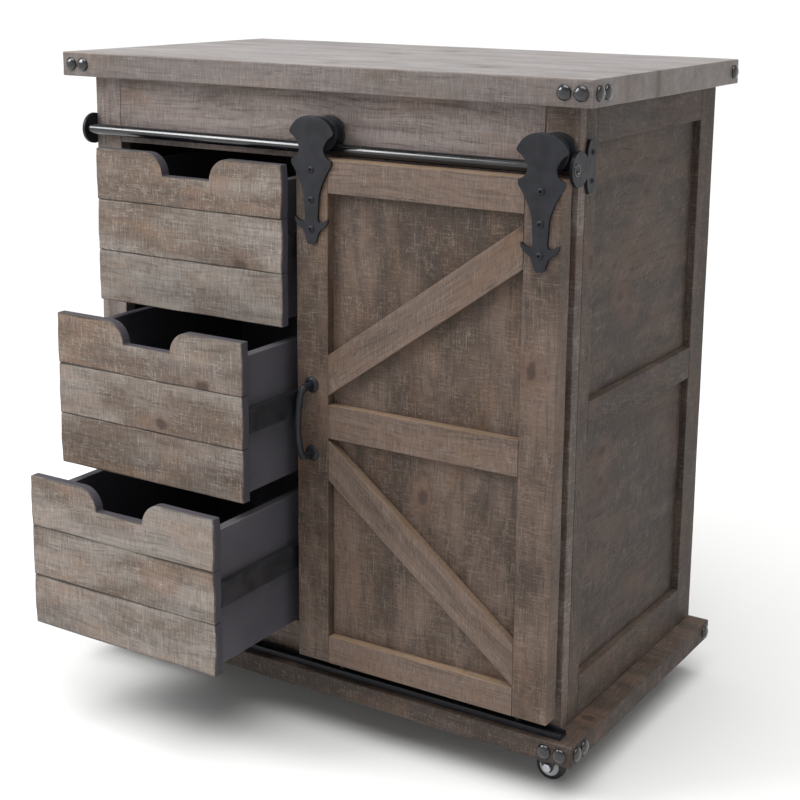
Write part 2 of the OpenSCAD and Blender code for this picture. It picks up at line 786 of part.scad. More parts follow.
module caster_tyre(n) color(rubber)
    translate(caster_at[n]) translate([trail, 0, wheel_r]) rotate([90, 0, 0]) rotate_extrude()
        polygon([
            [hub_r, -wheel_w / 2], [wheel_r - 2, -wheel_w / 2], [wheel_r - 0.5, -wheel_w / 2 + 1],
            [wheel_r, -wheel_w / 2 + 3], [wheel_r, wheel_w / 2 - 3], [wheel_r - 0.5, wheel_w / 2 - 1],
            [wheel_r - 2, wheel_w / 2], [hub_r, wheel_w / 2],
        ]);

// The brake lever: an eye on its pin, a lobe that grips the tyre, and a pedal
brake_eye_r = 3.6;
brake_t = 2;
brake_half = leg_y - 0.6;
brake_turn = 25;
brake_lobe_r = norm([brake_x - trail, brake_z - wheel_r]) - wheel_r - 0.3;
brake_lobe_a = atan2(wheel_r - brake_z, trail - brake_x) + brake_turn;

module caster_brake(n) color(black_steel)
    translate(caster_at[n]) upright(-brake_half, 2 * brake_half)
        difference() {
            union() {
                translate([brake_x, brake_z]) circle(r = brake_eye_r);
                translate([brake_x, brake_z]) rotate(brake_lobe_a)
                    polygon([[0, -2.4], [brake_lobe_r, -0.6], [brake_lobe_r, 0.6], [0, 2.4]]);
                polygon([
                    [brake_x - 1, brake_z + brake_eye_r], [brake_x - 1, brake_z + brake_eye_r - brake_t],
                    [brake_x + brake_l, brake_z - 7], [brake_x + brake_l, brake_z - 5],
                    [brake_x + brake_l - 2, brake_z - 4],
                ]);
            }
            translate([brake_x, brake_z]) circle(r = brake_pin_r + run_clear);
        }

// ---- Every piece, by name ----

worktop();
base_board();
face_stiles();
face_mullion();
face_header();
face_bottom_rail();
side_stiles();
side_rails();
side_panels();
back_panel();
partition();
cupboard_floor();
shelf();
shelf_pins();
runner_blocks();
slide_channels();
rail_bar();
rail_plates();
plate_screws();
floor_guide();
corner_studs();
caster_plates();
caster_screws();
drawer_front(2);  // top_drawer_front
drawer_box(2);  // top_drawer_box
drawer_bottom(2);  // top_drawer_bottom
drawer_slides(2);  // top_drawer_slides
drawer_front(1);  // middle_drawer_front
drawer_box(1);  // middle_drawer_box
drawer_bottom(1);  // middle_drawer_bottom
drawer_slides(1);  // middle_drawer_slides
drawer_front(0);  // bottom_drawer_front
drawer_box(0);  // bottom_drawer_box
drawer_bottom(0);  // bottom_drawer_bottom
drawer_slides(0);  // bottom_drawer_slides
door_stiles();
door_rails();
door_braces();
door_panels();
hanger_straps();
hanger_screws();
door_pull();
guide_pins();
roller(strap_xs[0]);  // left_roller
roller(strap_xs[1]);  // right_roller
caster_fork(0);  // front_left_fork
caster_hub(0);  // front_left_hub
caster_tyre(0);  // front_left_tyre
caster_brake(0);  // front_left_brake
caster_fork(1);  // front_right_fork
caster_hub(1);  // front_right_hub
caster_tyre(1);  // front_right_tyre
caster_brake(1);  // front_right_brake
caster_fork(2);  // rear_left_fork
caster_hub(2);  // rear_left_hub
caster_tyre(2);  // rear_left_tyre
caster_fork(3);  // rear_right_fork
caster_hub(3);  // rear_right_hub
caster_tyre(3);  // rear_right_tyre
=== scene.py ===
"""Looks of a kitchen island cart: sawn and washed fir boards, painted drawer boxes, forged iron and four casters.

The file is laid out as an add-on and run as a script. Every length is in metres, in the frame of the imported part:
X to the right, Y to the back, Z up, with the floor at Z = 0. Each piece keeps its place in its mesh.
"""

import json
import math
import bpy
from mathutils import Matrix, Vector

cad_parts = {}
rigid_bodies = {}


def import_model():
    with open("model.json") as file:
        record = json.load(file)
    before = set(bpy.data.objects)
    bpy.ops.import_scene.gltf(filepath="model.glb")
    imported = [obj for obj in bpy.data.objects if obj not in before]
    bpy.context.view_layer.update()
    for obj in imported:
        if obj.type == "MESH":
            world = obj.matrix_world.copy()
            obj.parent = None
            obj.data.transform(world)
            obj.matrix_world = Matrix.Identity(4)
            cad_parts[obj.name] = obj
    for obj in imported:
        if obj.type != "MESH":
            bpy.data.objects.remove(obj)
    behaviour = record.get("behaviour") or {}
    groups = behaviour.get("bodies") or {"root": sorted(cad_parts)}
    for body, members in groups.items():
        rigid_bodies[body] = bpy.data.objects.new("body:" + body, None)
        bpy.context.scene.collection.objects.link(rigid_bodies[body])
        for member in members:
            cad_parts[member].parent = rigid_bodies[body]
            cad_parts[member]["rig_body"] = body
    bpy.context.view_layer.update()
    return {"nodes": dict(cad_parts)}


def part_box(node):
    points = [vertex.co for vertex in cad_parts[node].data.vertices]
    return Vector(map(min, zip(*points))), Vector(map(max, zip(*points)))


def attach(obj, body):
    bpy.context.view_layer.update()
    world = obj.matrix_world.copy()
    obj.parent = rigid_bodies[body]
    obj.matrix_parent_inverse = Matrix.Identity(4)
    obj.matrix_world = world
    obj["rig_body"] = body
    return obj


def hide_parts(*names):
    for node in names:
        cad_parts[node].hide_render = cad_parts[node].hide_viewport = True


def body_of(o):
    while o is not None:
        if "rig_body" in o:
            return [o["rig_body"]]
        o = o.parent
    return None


bl_info = {
    "name": "Kitchen island cart",
    "version": (1, 0, 0),
    "blender": (4, 5, 0),
    "location": "3D View > Sidebar > Cart",
    "description": "Builds the boards, drawers, barn door, ironwork and casters of a kitchen island cart",
    "category": "Object",
}

import bmesh
import bpy
import numpy as np
from bpy.props import FloatProperty, FloatVectorProperty, IntProperty, PointerProperty

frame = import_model()
MM = 0.001
DRAWERS = ("top", "middle", "bottom")
CASTERS = ("front_left", "front_right", "rear_left", "rear_right")


def srgb(text):
    """A hex colour as the linear values that a shader takes."""
    value = np.array([int(text[k:k + 2], 16) for k in (1, 3, 5)]) / 255
    linear = np.where(value <= 0.04045, value / 12.92, ((value + 0.055) / 1.055) ** 2.4)
    return (*(float(x) for x in linear), 1.0)


# ---- Sizes and colours that a user would change ----


def shade(name, description, text):
    """A colour that a user would change, with its hex default."""
    return FloatVectorProperty(name=name, description=description, default=srgb(text), size=4, subtype="COLOR")


class CartWood(bpy.types.PropertyGroup):
    """How the boards are worn and sawn."""

    wear: FloatProperty(
        name="Worn edge", description="Radius of a board's worn edges", default=1.5 * MM, unit="LENGTH"
    )
    front_wear: FloatProperty(
        name="Worn front edge", description="Radius of the worn edges of a drawer front's planks",
        default=2.4 * MM, unit="LENGTH",
    )
    panel_wear: FloatProperty(
        name="Worn panel edge", description="Radius of the edges of sunk panels and inner boards",
        default=0.5 * MM, unit="LENGTH",
    )
    step: FloatProperty(
        name="Step", description="Distance between two places along a board", default=18 * MM, unit="LENGTH"
    )
    seed: IntProperty(name="Seed", description="Changes which stretch of grain each board shows", default=7)


class CartIron(bpy.types.PropertyGroup):
    """Sizes of the ironwork."""

    ease: FloatProperty(
        name="Eased edge", description="Radius of the edges of pressed parts", default=0.4 * MM, unit="LENGTH"
    )
    forged_ease: FloatProperty(
        name="Forged edge", description="Radius of the rail plates' edges", default=0.9 * MM, unit="LENGTH"
    )
    segments: IntProperty(name="Segments", description="Faces round the rail and the rollers", default=64, min=16)
    dent: FloatProperty(
        name="Dent", description="Depth of the hammer marks on the studs", default=0.22 * MM, unit="LENGTH"
    )


class CartColours(bpy.types.PropertyGroup):
    """The main colour of each finish, by its material slot."""

    weathered_boards: shade("Worktop", "Grey wash on the worktop", "#5c5451")
    weathered_face: shade("Face frame", "Grey wash on the face frame", "#786e6a")
    # The sides' wash is darker than the face frame's partly as painted shade, for the sides that face away from the
    # light; the base board takes it too.
    weathered_sides: shade("Sides", "Dark wash on the sides and base", "#473a32")
    weathered_fronts: shade("Drawer fronts", "Beige wash on the fronts", "#77706a")
    weathered_door: shade("Door", "Brown wash on the barn door", "#5c4c42")
    plain_inner_wood: shade("Inside", "Stain on the inner boards", "#51443a")
    charcoal_paint: shade("Drawer boxes", "Paint on the drawer boxes", "#3c3a40")
    black_slide_steel: shade("Slides", "Coat of the drawer slides", "#1b1b1e")
    forged_black_iron: shade("Forged iron", "Coat of the hangers and pull", "#131418")
    gloss_black_enamel: shade("Enamel", "Enamel on rail and studs", "#0d0d10")
    zinc_plate: shade("Zinc", "Plating on screws and bolts", "#b4b7bb")
    caster_steel: shade("Casters", "Coat of the casters' forks", "#17171a")
    hub_nylon: shade("Hubs", "Nylon of the wheels' hubs", "#a9abad")
    tyre_rubber: shade("Tyres", "Rubber of the tyres", "#161617")


class CartStage(bpy.types.PropertyGroup):
    """Camera, floor and lights."""

    camera_place: FloatVectorProperty(
        name="Camera", description="Where the camera stands", default=(1.0851, -1.6422, 0.9738),
        subtype="TRANSLATION", unit="LENGTH",
    )
    camera_turn: FloatVectorProperty(
        name="Camera turn",
        description="Heading, dip and roll of the camera",
        default=(math.radians(32.141), math.radians(12.461), math.radians(-0.479)),
        subtype="EULER",
    )
    lens: FloatProperty(name="Lens", description="Focal length in millimetres", default=70.17)
    shift: FloatProperty(
        name="Shift", description="Share of the picture that the lens is shifted down", default=-0.125
    )
    floor_colour: shade("Floor", "Colour of the floor", "#d6d6d5")
    floor_size: FloatProperty(name="Floor size", description="Width of the floor", default=200.0, unit="LENGTH")
    overhead: FloatProperty(name="Overhead light", description="Strength of the light from above", default=3.6)
    softbox: FloatProperty(name="Softbox", description="Power of the light from the front left", default=34.0)


# ---- Shapes ----


def ripple(points, rng, size, count=6):
    """A smooth random value near 0 at each point: the mean of a few sines of about the given wavelength, each along
    a line of its own."""
    lines = rng.normal(size=(count, 3))
    length = size * rng.uniform(0.7, 1.5, (count, 1))
    lines *= 2 * math.pi / (length * np.linalg.norm(lines, axis=1, keepdims=True))
    return np.clip(1.8 * np.sin(points @ lines.T + rng.uniform(0, 6.3, count)).mean(1), -1, 1)


def spread(low, high, wear, step):
    """Places along one side of a board: close together where its edge is worn round, then about a step apart."""
    near = np.array([0, 0.25, 0.6, 1, 1.8, 3.5]) * wear
    near = near[near < 0.45 * (high - low)]
    inside = np.linspace(low + near[-1], high - near[-1], max(2, int(round((high - low) / step)) + 1))
    return np.concatenate([low + near[:-1], inside, (high - near[:-1])[::-1]])


def box_shell(sides):
    """The surface of a box, as a lattice of the places along its three sides. Gives points and quads that face
    outwards."""
    count = [len(s) for s in sides]
    stride = [count[1] * count[2], count[2], 1]
    quads = []
    for axis in range(3):
        u, v = [k for k in range(3) if k != axis]
        across, up = np.meshgrid(np.arange(count[u]), np.arange(count[v]), indexing="ij")
        for end in (0, count[axis] - 1):
            key = across * stride[u] + up * stride[v] + end * stride[axis]
            quad = np.stack([key[:-1, :-1], key[1:, :-1], key[1:, 1:], key[:-1, 1:]], -1).reshape(-1, 4)
            quads.append(quad[:, ::-1] if (end == 0) != (axis == 1) else quad)
    keys, faces = np.unique(np.concatenate(quads), return_inverse=True)
    place = np.stack([np.asarray(sides[k])[keys // stride[k] % count[k]] for k in range(3)], -1)
    return place, faces.reshape(-1, 4)


def plank(
    low, high, along, rng, wear, step, waver=0.25 * MM, places=None, warp=None, straight=False, tones=(0, 1)
):
    """One sawn plank between two corners, with its grain along one axis.

    A place on the box's surface is drawn in to a box smaller by the wear and pushed out again:
    inner + wear * (place - inner) / |place - inner|, which rounds every edge. The wear and the outline waver with a
    few long sines, and warp then bends the whole plank, with its grain unless straight is set. places adds places
    along an axis. Gives points, quads and the values its material reads."""
    low, high = np.array(low, float), np.array(high, float)
    sides = [spread(low[k], high[k], wear, step) for k in range(3)]
    for axis, extra in (places or {}).items():
        sides[axis] = np.unique(np.round(np.concatenate([sides[axis], extra]), 7))
    points, faces = box_shell(sides)
    gaps = np.sort(np.minimum(points - low, high - points), axis=1)
    worn = (wear * (0.72 + 0.28 * ripple(points, rng, 0.08)))[:, None]
    inner = np.clip(points, low + worn, high - worn)
    out = points - inner
    out /= np.linalg.norm(out, axis=1, keepdims=True)
    shape = inner + out * (worn - waver * (0.5 + 0.5 * ripple(points, rng, 0.13))[:, None])
    bent = warp(shape) if warp else shape
    wide = sorted((k for k in range(3) if k != along), key=lambda k: low[k] - high[k])
    grain = ((bent if straight else points) - low)[:, [along, *wide]] * rng.choice([-1, 1], 3)
    grain = grain + rng.uniform(1, 9, 3)
    values = {
        "grain": grain,
        "edge": gaps[:, 1] / MM,
        "tone": np.full(len(points), rng.uniform(*tones)),
        "depth": (points[:, 1] - low[1]) / MM,
    }
    return bent, faces, values


def weld(points, faces):
    """Joins points that lie in one place, so that seams and poles are closed. Gives the points, the quads, the
    triangles at the poles, and which point each came from."""
    key, first, where = np.unique(np.round(points, 7), axis=0, return_index=True, return_inverse=True)
    faces = where.reshape(-1)[faces]
    same = faces == np.roll(faces, -1, axis=1)
    whole = faces[~same.any(1)]
    pinched = faces[same.sum(1) == 1]
    turn = (np.argmax(same[same.sum(1) == 1], axis=1)[:, None] + np.arange(1, 4)) % 4
    return key, whole, np.take_along_axis(pinched, turn, axis=1), first


def grid_faces(rows, columns, closed_rows=False, closed_columns=False):
    """Quads between the points of a grid that is rows by columns."""
    down, across = rows - (not closed_rows), columns - (not closed_columns)
    i, j = np.meshgrid(np.arange(down), np.arange(across), indexing="ij")
    up, right = (i + 1) % rows, (j + 1) % columns
    quads = [i * columns + j, up * columns + j, up * columns + right, i * columns + right]
    return np.stack(quads, -1).reshape(-1, 4)


def outward(points, faces):
    """The faces, turned if the shell's volume by the sum of its tetrahedra is below 0."""
    a, b, c, d = (points[faces[:, k]] for k in range(4))
    volume = sum(np.einsum("ij,ij->i", a, np.cross(*pair)).sum() for pair in ((b, c), (c, d)))
    return faces if volume > 0 else faces[:, ::-1]


def turned(profile, centre, axis, segments, dent=None, closed=False):
    """A profile of (radius, height) pairs carried round an axis:
    centre + height * axis + radius * (cos t, sin t) across it. dent takes the points and gives how far each is pushed
    in along the axis, and closed joins the profile's end to its start."""
    profile, axis = np.array(profile, float), np.array(axis, float)
    side = np.cross(axis, [0, 0, 1] if abs(axis[2]) < 0.9 else [1, 0, 0])
    side /= np.linalg.norm(side)
    other = np.cross(axis, side)
    t = np.linspace(0, 2 * math.pi, segments, endpoint=False)
    ring = np.cos(t)[:, None] * side + np.sin(t)[:, None] * other
    points = np.array(centre, float) + profile[:, None, 1:] * axis + profile[:, None, :1] * ring
    points = points.reshape(-1, 3)
    faces = outward(points, grid_faces(len(profile), segments, closed, True))
    if dent is not None:
        points = points - axis * dent(points)[:, None]
    return points, faces, {}


def swept(path, radii, segments, side=(1, 0, 0)):
    """A round bar along a path: path + radius * (cos t * side + sin t * across), where across stands on the path and
    on side. It is closed with a point at each end."""
    path, side = np.array(path, float), np.array(side, float)
    way = np.gradient(path, axis=0)
    way /= np.linalg.norm(way, axis=1, keepdims=True)
    across = np.cross(way, side)
    across /= np.linalg.norm(across, axis=1, keepdims=True)
    t = np.linspace(0, 2 * math.pi, segments, endpoint=False)
    ring = np.cos(t)[None, :, None] * side + np.sin(t)[None, :, None] * across[:, None, :]
    points = (path[:, None, :] + np.array(radii)[:, None, None] * ring).reshape(-1, 3)
    return points, outward(points, grid_faces(len(path), segments, False, True)), {}


def slab(outline, spine, low, high, ease):
    """A plate: a closed outline in X and Z carried from low to high along Y, in four rings, the first and last of
    which are drawn in by the ease. Each end is filled by quads from the outline to the points (0, spine) on its
    middle line."""
    outline = np.array(outline, float)
    step = np.roll(outline, -1, axis=0) - np.roll(outline, 1, axis=0)
    normal = np.stack([step[:, 1], -step[:, 0]], -1) / np.linalg.norm(step, axis=1, keepdims=True)
    middle = np.stack([0 * spine, spine], -1)
    drawn = outline - ease * normal
    rings = [
        (middle, low), (drawn, low), (outline, low + ease), (outline, high - ease), (drawn, high), (middle, high),
    ]
    points = np.concatenate([np.stack([r[:, 0], np.full(len(r), y), r[:, 1]], -1) for r, y in rings])
    return points, outward(points, grid_faces(len(rings), len(outline), False, True)), {}


def bend(p, m, q, count=8):
    """Points on the curve from p to q that is drawn towards m: (1-t)(1-t)p + 2t(1-t)m + ttq."""
    t = np.linspace(0, 1, count + 1)[:, None]
    return (1 - t) ** 2 * np.array(p, float) + 2 * t * (1 - t) * np.array(m, float) + t**2 * np.array(q, float)


def solids(node):
    """The lowest and highest corner of each separate solid in a CAD node, and its points."""
    mesh = frame["nodes"][node].data
    points = np.zeros(len(mesh.vertices) * 3)
    mesh.vertices.foreach_get("co", points)
    mesh.calc_loop_triangles()
    faces = np.zeros(len(mesh.loop_triangles) * 3, int)
    mesh.loop_triangles.foreach_get("vertices", faces)
    key, where = np.unique(np.round(points.reshape(-1, 3), 6), axis=0, return_inverse=True)
    faces = where.reshape(-1)[faces].reshape(-1, 3)
    label = np.arange(len(key))
    while True:
        low = label[faces].min(1)
        new = label.copy()
        np.minimum.at(new, faces, np.repeat(low[:, None], 3, axis=1))
        if (new == label).all():
            break
        label = new
    found = [key[label == k] for k in np.unique(label)]
    return sorted(((p.min(0), p.max(0), p) for p in found), key=lambda s: tuple(np.round(s[0], 4)))


def corners(node):
    """A node's lowest and highest corner at rest."""
    return (np.array(corner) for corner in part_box(node))


def finish_piece(name, shells, body, node, slot):
    """Joins shells into one object with its values and its finish, puts it on its body and hides the CAD node that it
    stands for.
    """
    points, quads, triangles, values, count = [], [], [], {}, 0
    for shape, faces, held in shells:
        key, whole, pinched, first = weld(shape, faces)
        points.append(key)
        quads.append(whole + count)
        triangles.append(pinched + count)
        for label, value in held.items():
            values.setdefault(label, []).append(value[first])
        count += len(key)
    faces = np.concatenate(quads).tolist() + np.concatenate(triangles).tolist()
    mesh = bpy.data.meshes.new(name)
    mesh.from_pydata(np.concatenate(points).tolist(), [], faces)
    for label, parts in values.items():
        value = np.concatenate(parts)
        kind, field = ("FLOAT_VECTOR", "vector") if value.ndim == 2 else ("FLOAT", "value")
        mesh.attributes.new(label, kind, "POINT").data.foreach_set(field, value.astype(np.float32).ravel())
    mesh.materials.append(finish(slot))
    return settle(name, mesh, body, node)


def settle(name, mesh, body, node):
    """Puts a finished mesh into the scene, shaded smooth and on its body, and hides the CAD node that it stands for.
    """
    mesh.polygons.foreach_set("use_smooth", np.full(len(mesh.polygons), True))
    mesh.update()
    piece = bpy.data.objects.new(name, mesh)
    bpy.context.scene.collection.objects.link(piece)
    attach(piece, body)
    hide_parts(node)
    return piece


def weighted(piece):
    """Keeps flat faces flat where a worn edge rounds into them."""
    piece.modifiers.new("Flat faces", "WEIGHTED_NORMAL").weight = 60
    return piece


def eased_copy(name, node, width, slots, pick=None):
    """A CAD node's shape with its edges eased: its triangles are merged, its flat faces joined, and a bevel added.
    pick takes the middles of the faces and gives which of the slots each has."""
    mesh = frame["nodes"][node].data.copy()
    mesh.name = name
    mesh.materials.clear()
    form = bmesh.new()
    form.from_mesh(mesh)
    bmesh.ops.remove_doubles(form, verts=form.verts, dist=2e-6)
    bmesh.ops.dissolve_limit(form, angle_limit=math.radians(0.5), verts=form.verts, edges=form.edges)
    form.to_mesh(mesh)
    form.free()
    for slot in slots:
        mesh.materials.append(finish(slot))
    middles = np.zeros(len(mesh.polygons) * 3)
    mesh.polygons.foreach_get("center", middles)
    chosen = pick(middles.reshape(-1, 3)) if pick else np.zeros(len(mesh.polygons))
    mesh.polygons.foreach_set("material_index", chosen.astype(np.int32))
    piece = settle(name, mesh, body_of(frame["nodes"][node])[0], node)
    bevel = piece.modifiers.new("Eased edges", "BEVEL")
    bevel.width, bevel.segments, bevel.limit_method, bevel.angle_limit = width, 2, "ANGLE", math.radians(35)
    return weighted(piece)


def coat_node(node, slot):
    """Gives a CAD node, whose shape stays, its finish."""
    materials = frame["nodes"][node].data.materials
    materials.clear()
    materials.append(finish(slot))


# ---- Finishes ----


def put(tree, kind, inputs=None, out=0, **settings):
    """Adds a node with its settings, sets or links its inputs, and gives one of its outputs."""
    made = tree.nodes.new("ShaderNode" + kind)
    for name, value in settings.items():
        setattr(made, name, value)
    for name, value in (inputs or {}).items():
        if isinstance(value, bpy.types.NodeSocket):
            tree.links.new(value, made.inputs[name])
        else:
            made.inputs[name].default_value = value
    return made.outputs[out]


def new_finish(name):
    """An empty material and its shader."""
    material = bpy.data.materials.new(name)
    material.use_nodes = True
    return material, material.node_tree, material.node_tree.nodes["Principled BSDF"]


def sawn_fir(
    name, wash, brown, dark, pale, tan, rim, lit_top, lit_top_share=0.4, rim_width=1.0, worn=0.5, rough=0.66, gloss=0.4,
    hatch=1.0, deep=1.0, slant=0.0, painted=None,
):
    """Fir off a band saw, rubbed with a thin grey wash and sealed: the wash lies in the saw marks and leaves pale
    specks, growth lines and knots show through as brown, and tan wood shows where it is rubbed.

    rim is the colour along the edges and rim_width how wide it is in millimetres: where the rim is dark it is painted
    shade in the seams and grooves between boards, and where it is light it is worn wood with a painted highlight on
    the rounded edge. The colour of faces that look up is a painted highlight of the light from above, laid over the
    given share of them. hatch is the strength of the saw marks and deep that of the growth lines, and slant turns the
    scratches."""
    material, tree, shader = new_finish(name)
    grain = put(tree, "Attribute", out=1, attribute_name="grain")
    edge = put(tree, "Attribute", out=2, attribute_name="edge")
    tone = put(tree, "Attribute", out=2, attribute_name="tone")

    # Knots about 14 mm across, a few to a board: cells of 190 by 125 mm, of which a third hold one.
    cells = put(tree, "VectorMath", {0: grain, 1: (5.2, 8.0, 0.0)}, operation="MULTIPLY")
    voronoi = put(tree, "TexVoronoi", {"Vector": cells, "Scale": 1.0}, voronoi_dimensions="2D")
    lot = put(tree, "SeparateColor", {0: voronoi.node.outputs["Color"]})
    holds = put(tree, "Math", {0: lot, 1: 0.64}, operation="GREATER_THAN")
    wobble = put(tree, "TexNoise", {"Vector": grain, "Scale": 110.0, "Detail": 2.0})
    ragged = put(tree, "Math", {0: wobble, 1: 0.05, 2: voronoi}, operation="MULTIPLY_ADD")
    knot = {}
    for part, inner, outer in (("core", 0.055, 0.095), ("halo", 0.05, 0.26)):
        share = put(
            tree, "MapRange", {0: ragged, 1: inner, 2: outer, 3: 1.0, 4: 0.0}, interpolation_type="SMOOTHSTEP"
        )
        knot[part] = put(tree, "Math", {0: share, 1: holds}, operation="MULTIPLY")

    # The grain wanders by a few millimetres and flows round the knots.
    wide = put(tree, "VectorMath", {0: grain, 1: (4.0, 9.0, 9.0)}, operation="MULTIPLY")
    wander = put(tree, "TexNoise", {"Vector": wide, "Scale": 1.0, "Detail": 1.0})
    round_knot = put(tree, "Math", {0: knot["halo"], 1: 0.014}, operation="MULTIPLY")
    drift = put(tree, "Math", {0: wander, 1: 0.06, 2: round_knot}, operation="MULTIPLY_ADD")
    flow = put(tree, "VectorMath", {0: grain, 1: put(tree, "CombineXYZ", {1: drift, 2: drift})}, operation="ADD")
    sawn = put(tree, "VectorRotate", {"Vector": grain, "Angle": slant}, rotation_type="Z_AXIS")

    # Marks to the metre along and across the grain. Growth lines are 3.5 mm apart and 140 mm long, in bands of
    # 26 mm.
    # Saw marks and scratches are really under 1 mm apart and are drawn about 1.6 mm apart, so that they show.
    # Patches of wash are about 140 mm long and 70 mm wide.
    mark = {}
    for part, source, size, detail, fine in (
        ("lines", flow, (7.0, 290.0, 290.0), 4.0, 0.60), ("bands", flow, (2.0, 38.0, 38.0), 3.0, 0.55),
        ("saw", grain, (600.0, 58.0, 58.0), 3.0, 0.60), ("scratch", sawn, (50.0, 660.0, 660.0), 3.0, 0.60),
        ("speck", grain, (520.0, 520.0, 520.0), 2.0, 0.70), ("cloud", grain, (38.0, 55.0, 55.0), 3.0, 0.60),
        ("patch", grain, (7.0, 15.0, 15.0), 4.0, 0.60), ("rubbed", grain, (9.0, 24.0, 24.0), 5.0, 0.65),
    ):
        place = put(tree, "VectorMath", {0: source, 1: size}, operation="MULTIPLY")
        mark[part] = put(tree, "TexNoise", {"Vector": place, "Scale": 1.0, "Detail": detail, "Roughness": fine})
    # How much a face looks up, for the painted highlight of the light from above on the tops.
    mark["lit_from_above"] = put(tree, "SeparateXYZ", {0: put(tree, "TexCoord", out=1)}, out=2)
    # How near a place is to an edge, for the band along the edges: painted shade in the seams where it is dark, worn
    # wood with a painted highlight where it is light.
    mark["near"] = put(tree, "Math", {0: edge, 1: 1 / rim_width}, operation="MULTIPLY")
    # Marks that are made of two others: the first times its weight, plus the second.
    for part, first, weight, second in (
        ("toned", tone, 0.20, "patch"), ("grime", mark["cloud"], 0.45, "saw"),
        ("chalk", mark["cloud"], 0.45, "scratch"), ("crumbs", mark["cloud"], 0.35, "speck"),
        ("sand", mark["speck"], 0.35, "rubbed"), ("edge_wear_and_shade", mark["rubbed"], -5.0, "near"),
    ):
        mark[part] = put(tree, "Math", {0: first, 1: weight, 2: mark[second]}, operation="MULTIPLY_ADD")

    # Colour, from the wood outwards: each layer covers where its mark lies between two values, up to its most.
    colour = srgb(brown)
    for part, low, high, most, shade in (
        # Faces that look up take the top colour as a painted highlight of the light from above.
        ("toned", 0.48, 0.70, 1.0, wash), ("lit_from_above", 0.6, 0.95, lit_top_share, srgb(lit_top)),
        ("bands", 0.45, 0.70, 0.50 * deep, srgb(dark)), ("lines", 0.50, 0.74, 0.75 * deep, srgb(dark)),
        ("sand", 0.68, 0.84, worn, srgb(tan)), ("grime", 0.73, 0.98, 0.55 * hatch, srgb(dark)),
        ("chalk", 0.76, 1.0, 0.32 * hatch, srgb(pale)), ("saw", 0.46, 0.20, 0.36 * hatch, srgb(pale)),
        # The band along the edges: painted shade in the seams where the rim is dark, worn wood with a painted
        # highlight where it is light.
        ("crumbs", 0.78, 0.92, 0.35, srgb(pale)), ("edge_wear_and_shade", -1.7, -2.7, 0.85, srgb(rim)),
    ):
        share = put(tree, "MapRange", {0: mark[part], 1: low, 2: high, 4: most})
        colour = put(tree, "Mix", {0: share, 6: colour, 7: shade}, out=2, data_type="RGBA")
    for part, most, shade in (("halo", 0.40, "#54392a"), ("core", 0.80, "#2f211a")):
        share = put(tree, "Math", {0: knot[part], 1: most}, operation="MULTIPLY")
        colour = put(tree, "Mix", {0: share, 6: colour, 7: srgb(shade)}, out=2, data_type="RGBA")

    height = put(tree, "Math", {0: mark["scratch"], 1: 0.4 * hatch}, operation="MULTIPLY")
    height = put(tree, "Math", {0: mark["saw"], 1: 0.6 * hatch, 2: height}, operation="MULTIPLY_ADD")
    height = put(tree, "Math", {0: mark["lines"], 1: 0.4, 2: height}, operation="MULTIPLY_ADD")
    roughness = put(tree, "MapRange", {0: mark["patch"], 1: 0.3, 2: 0.7, 3: rough - 0.08, 4: rough + 0.10})
    if painted:
        # Paint covers the ends and the back and stops raggedly just behind the face.
        depth = put(tree, "Attribute", out=2, attribute_name="depth")
        under = put(tree, "Math", {0: mark["rubbed"], 1: -2.2, 2: depth}, operation="MULTIPLY_ADD")
        coat = put(tree, "MapRange", {0: under, 1: 0.15, 2: 0.75}, interpolation_type="SMOOTHSTEP")
        colour = put(tree, "Mix", {0: coat, 6: colour, 7: srgb(painted)}, out=2, data_type="RGBA")
    bump = put(tree, "Bump", {"Height": height, "Strength": 0.6, "Distance": 0.6 * MM})
    tree.links.new(colour, shader.inputs["Base Color"])
    tree.links.new(roughness, shader.inputs["Roughness"])
    tree.links.new(bump, shader.inputs["Normal"])
    shader.inputs["Specular IOR Level"].default_value = gloss
    return material


def brushed_paint(name, colour, lift, rubbed, rough):
    """Matt paint brushed on board: even, with faint strokes 4 mm apart, slight clouding and worn edges."""
    material, tree, shader = new_finish(name)
    grain = put(tree, "Attribute", out=1, attribute_name="grain")
    along = put(tree, "VectorMath", {0: grain, 1: (12.0, 240.0, 240.0)}, operation="MULTIPLY")
    strokes = put(tree, "TexNoise", {"Vector": along, "Scale": 1.0, "Detail": 3.0})
    cloud = put(tree, "TexNoise", {"Vector": grain, "Scale": 14.0, "Detail": 4.0})
    edge = put(tree, "Attribute", out=2, attribute_name="edge")
    uneven = put(tree, "Math", {0: strokes, 1: 0.4, 2: cloud}, operation="MULTIPLY_ADD")
    mixed = put(tree, "MapRange", {0: uneven, 1: 0.5, 2: 0.9, 4: 0.7})
    near = put(tree, "Math", {0: cloud, 1: -3.0, 2: edge}, operation="MULTIPLY_ADD")
    worn = put(tree, "MapRange", {0: near, 1: -1.5, 2: -0.6, 3: 0.8, 4: 0.0})
    base = put(tree, "Mix", {0: mixed, 6: colour, 7: srgb(lift)}, out=2, data_type="RGBA")
    base = put(tree, "Mix", {0: worn, 6: base, 7: srgb(rubbed)}, out=2, data_type="RGBA")
    bump = put(tree, "Bump", {"Height": strokes, "Strength": 0.3, "Distance": 0.3 * MM})
    tree.links.new(base, shader.inputs["Base Color"])
    tree.links.new(bump, shader.inputs["Normal"])
    shader.inputs["Roughness"].default_value = rough
    return material


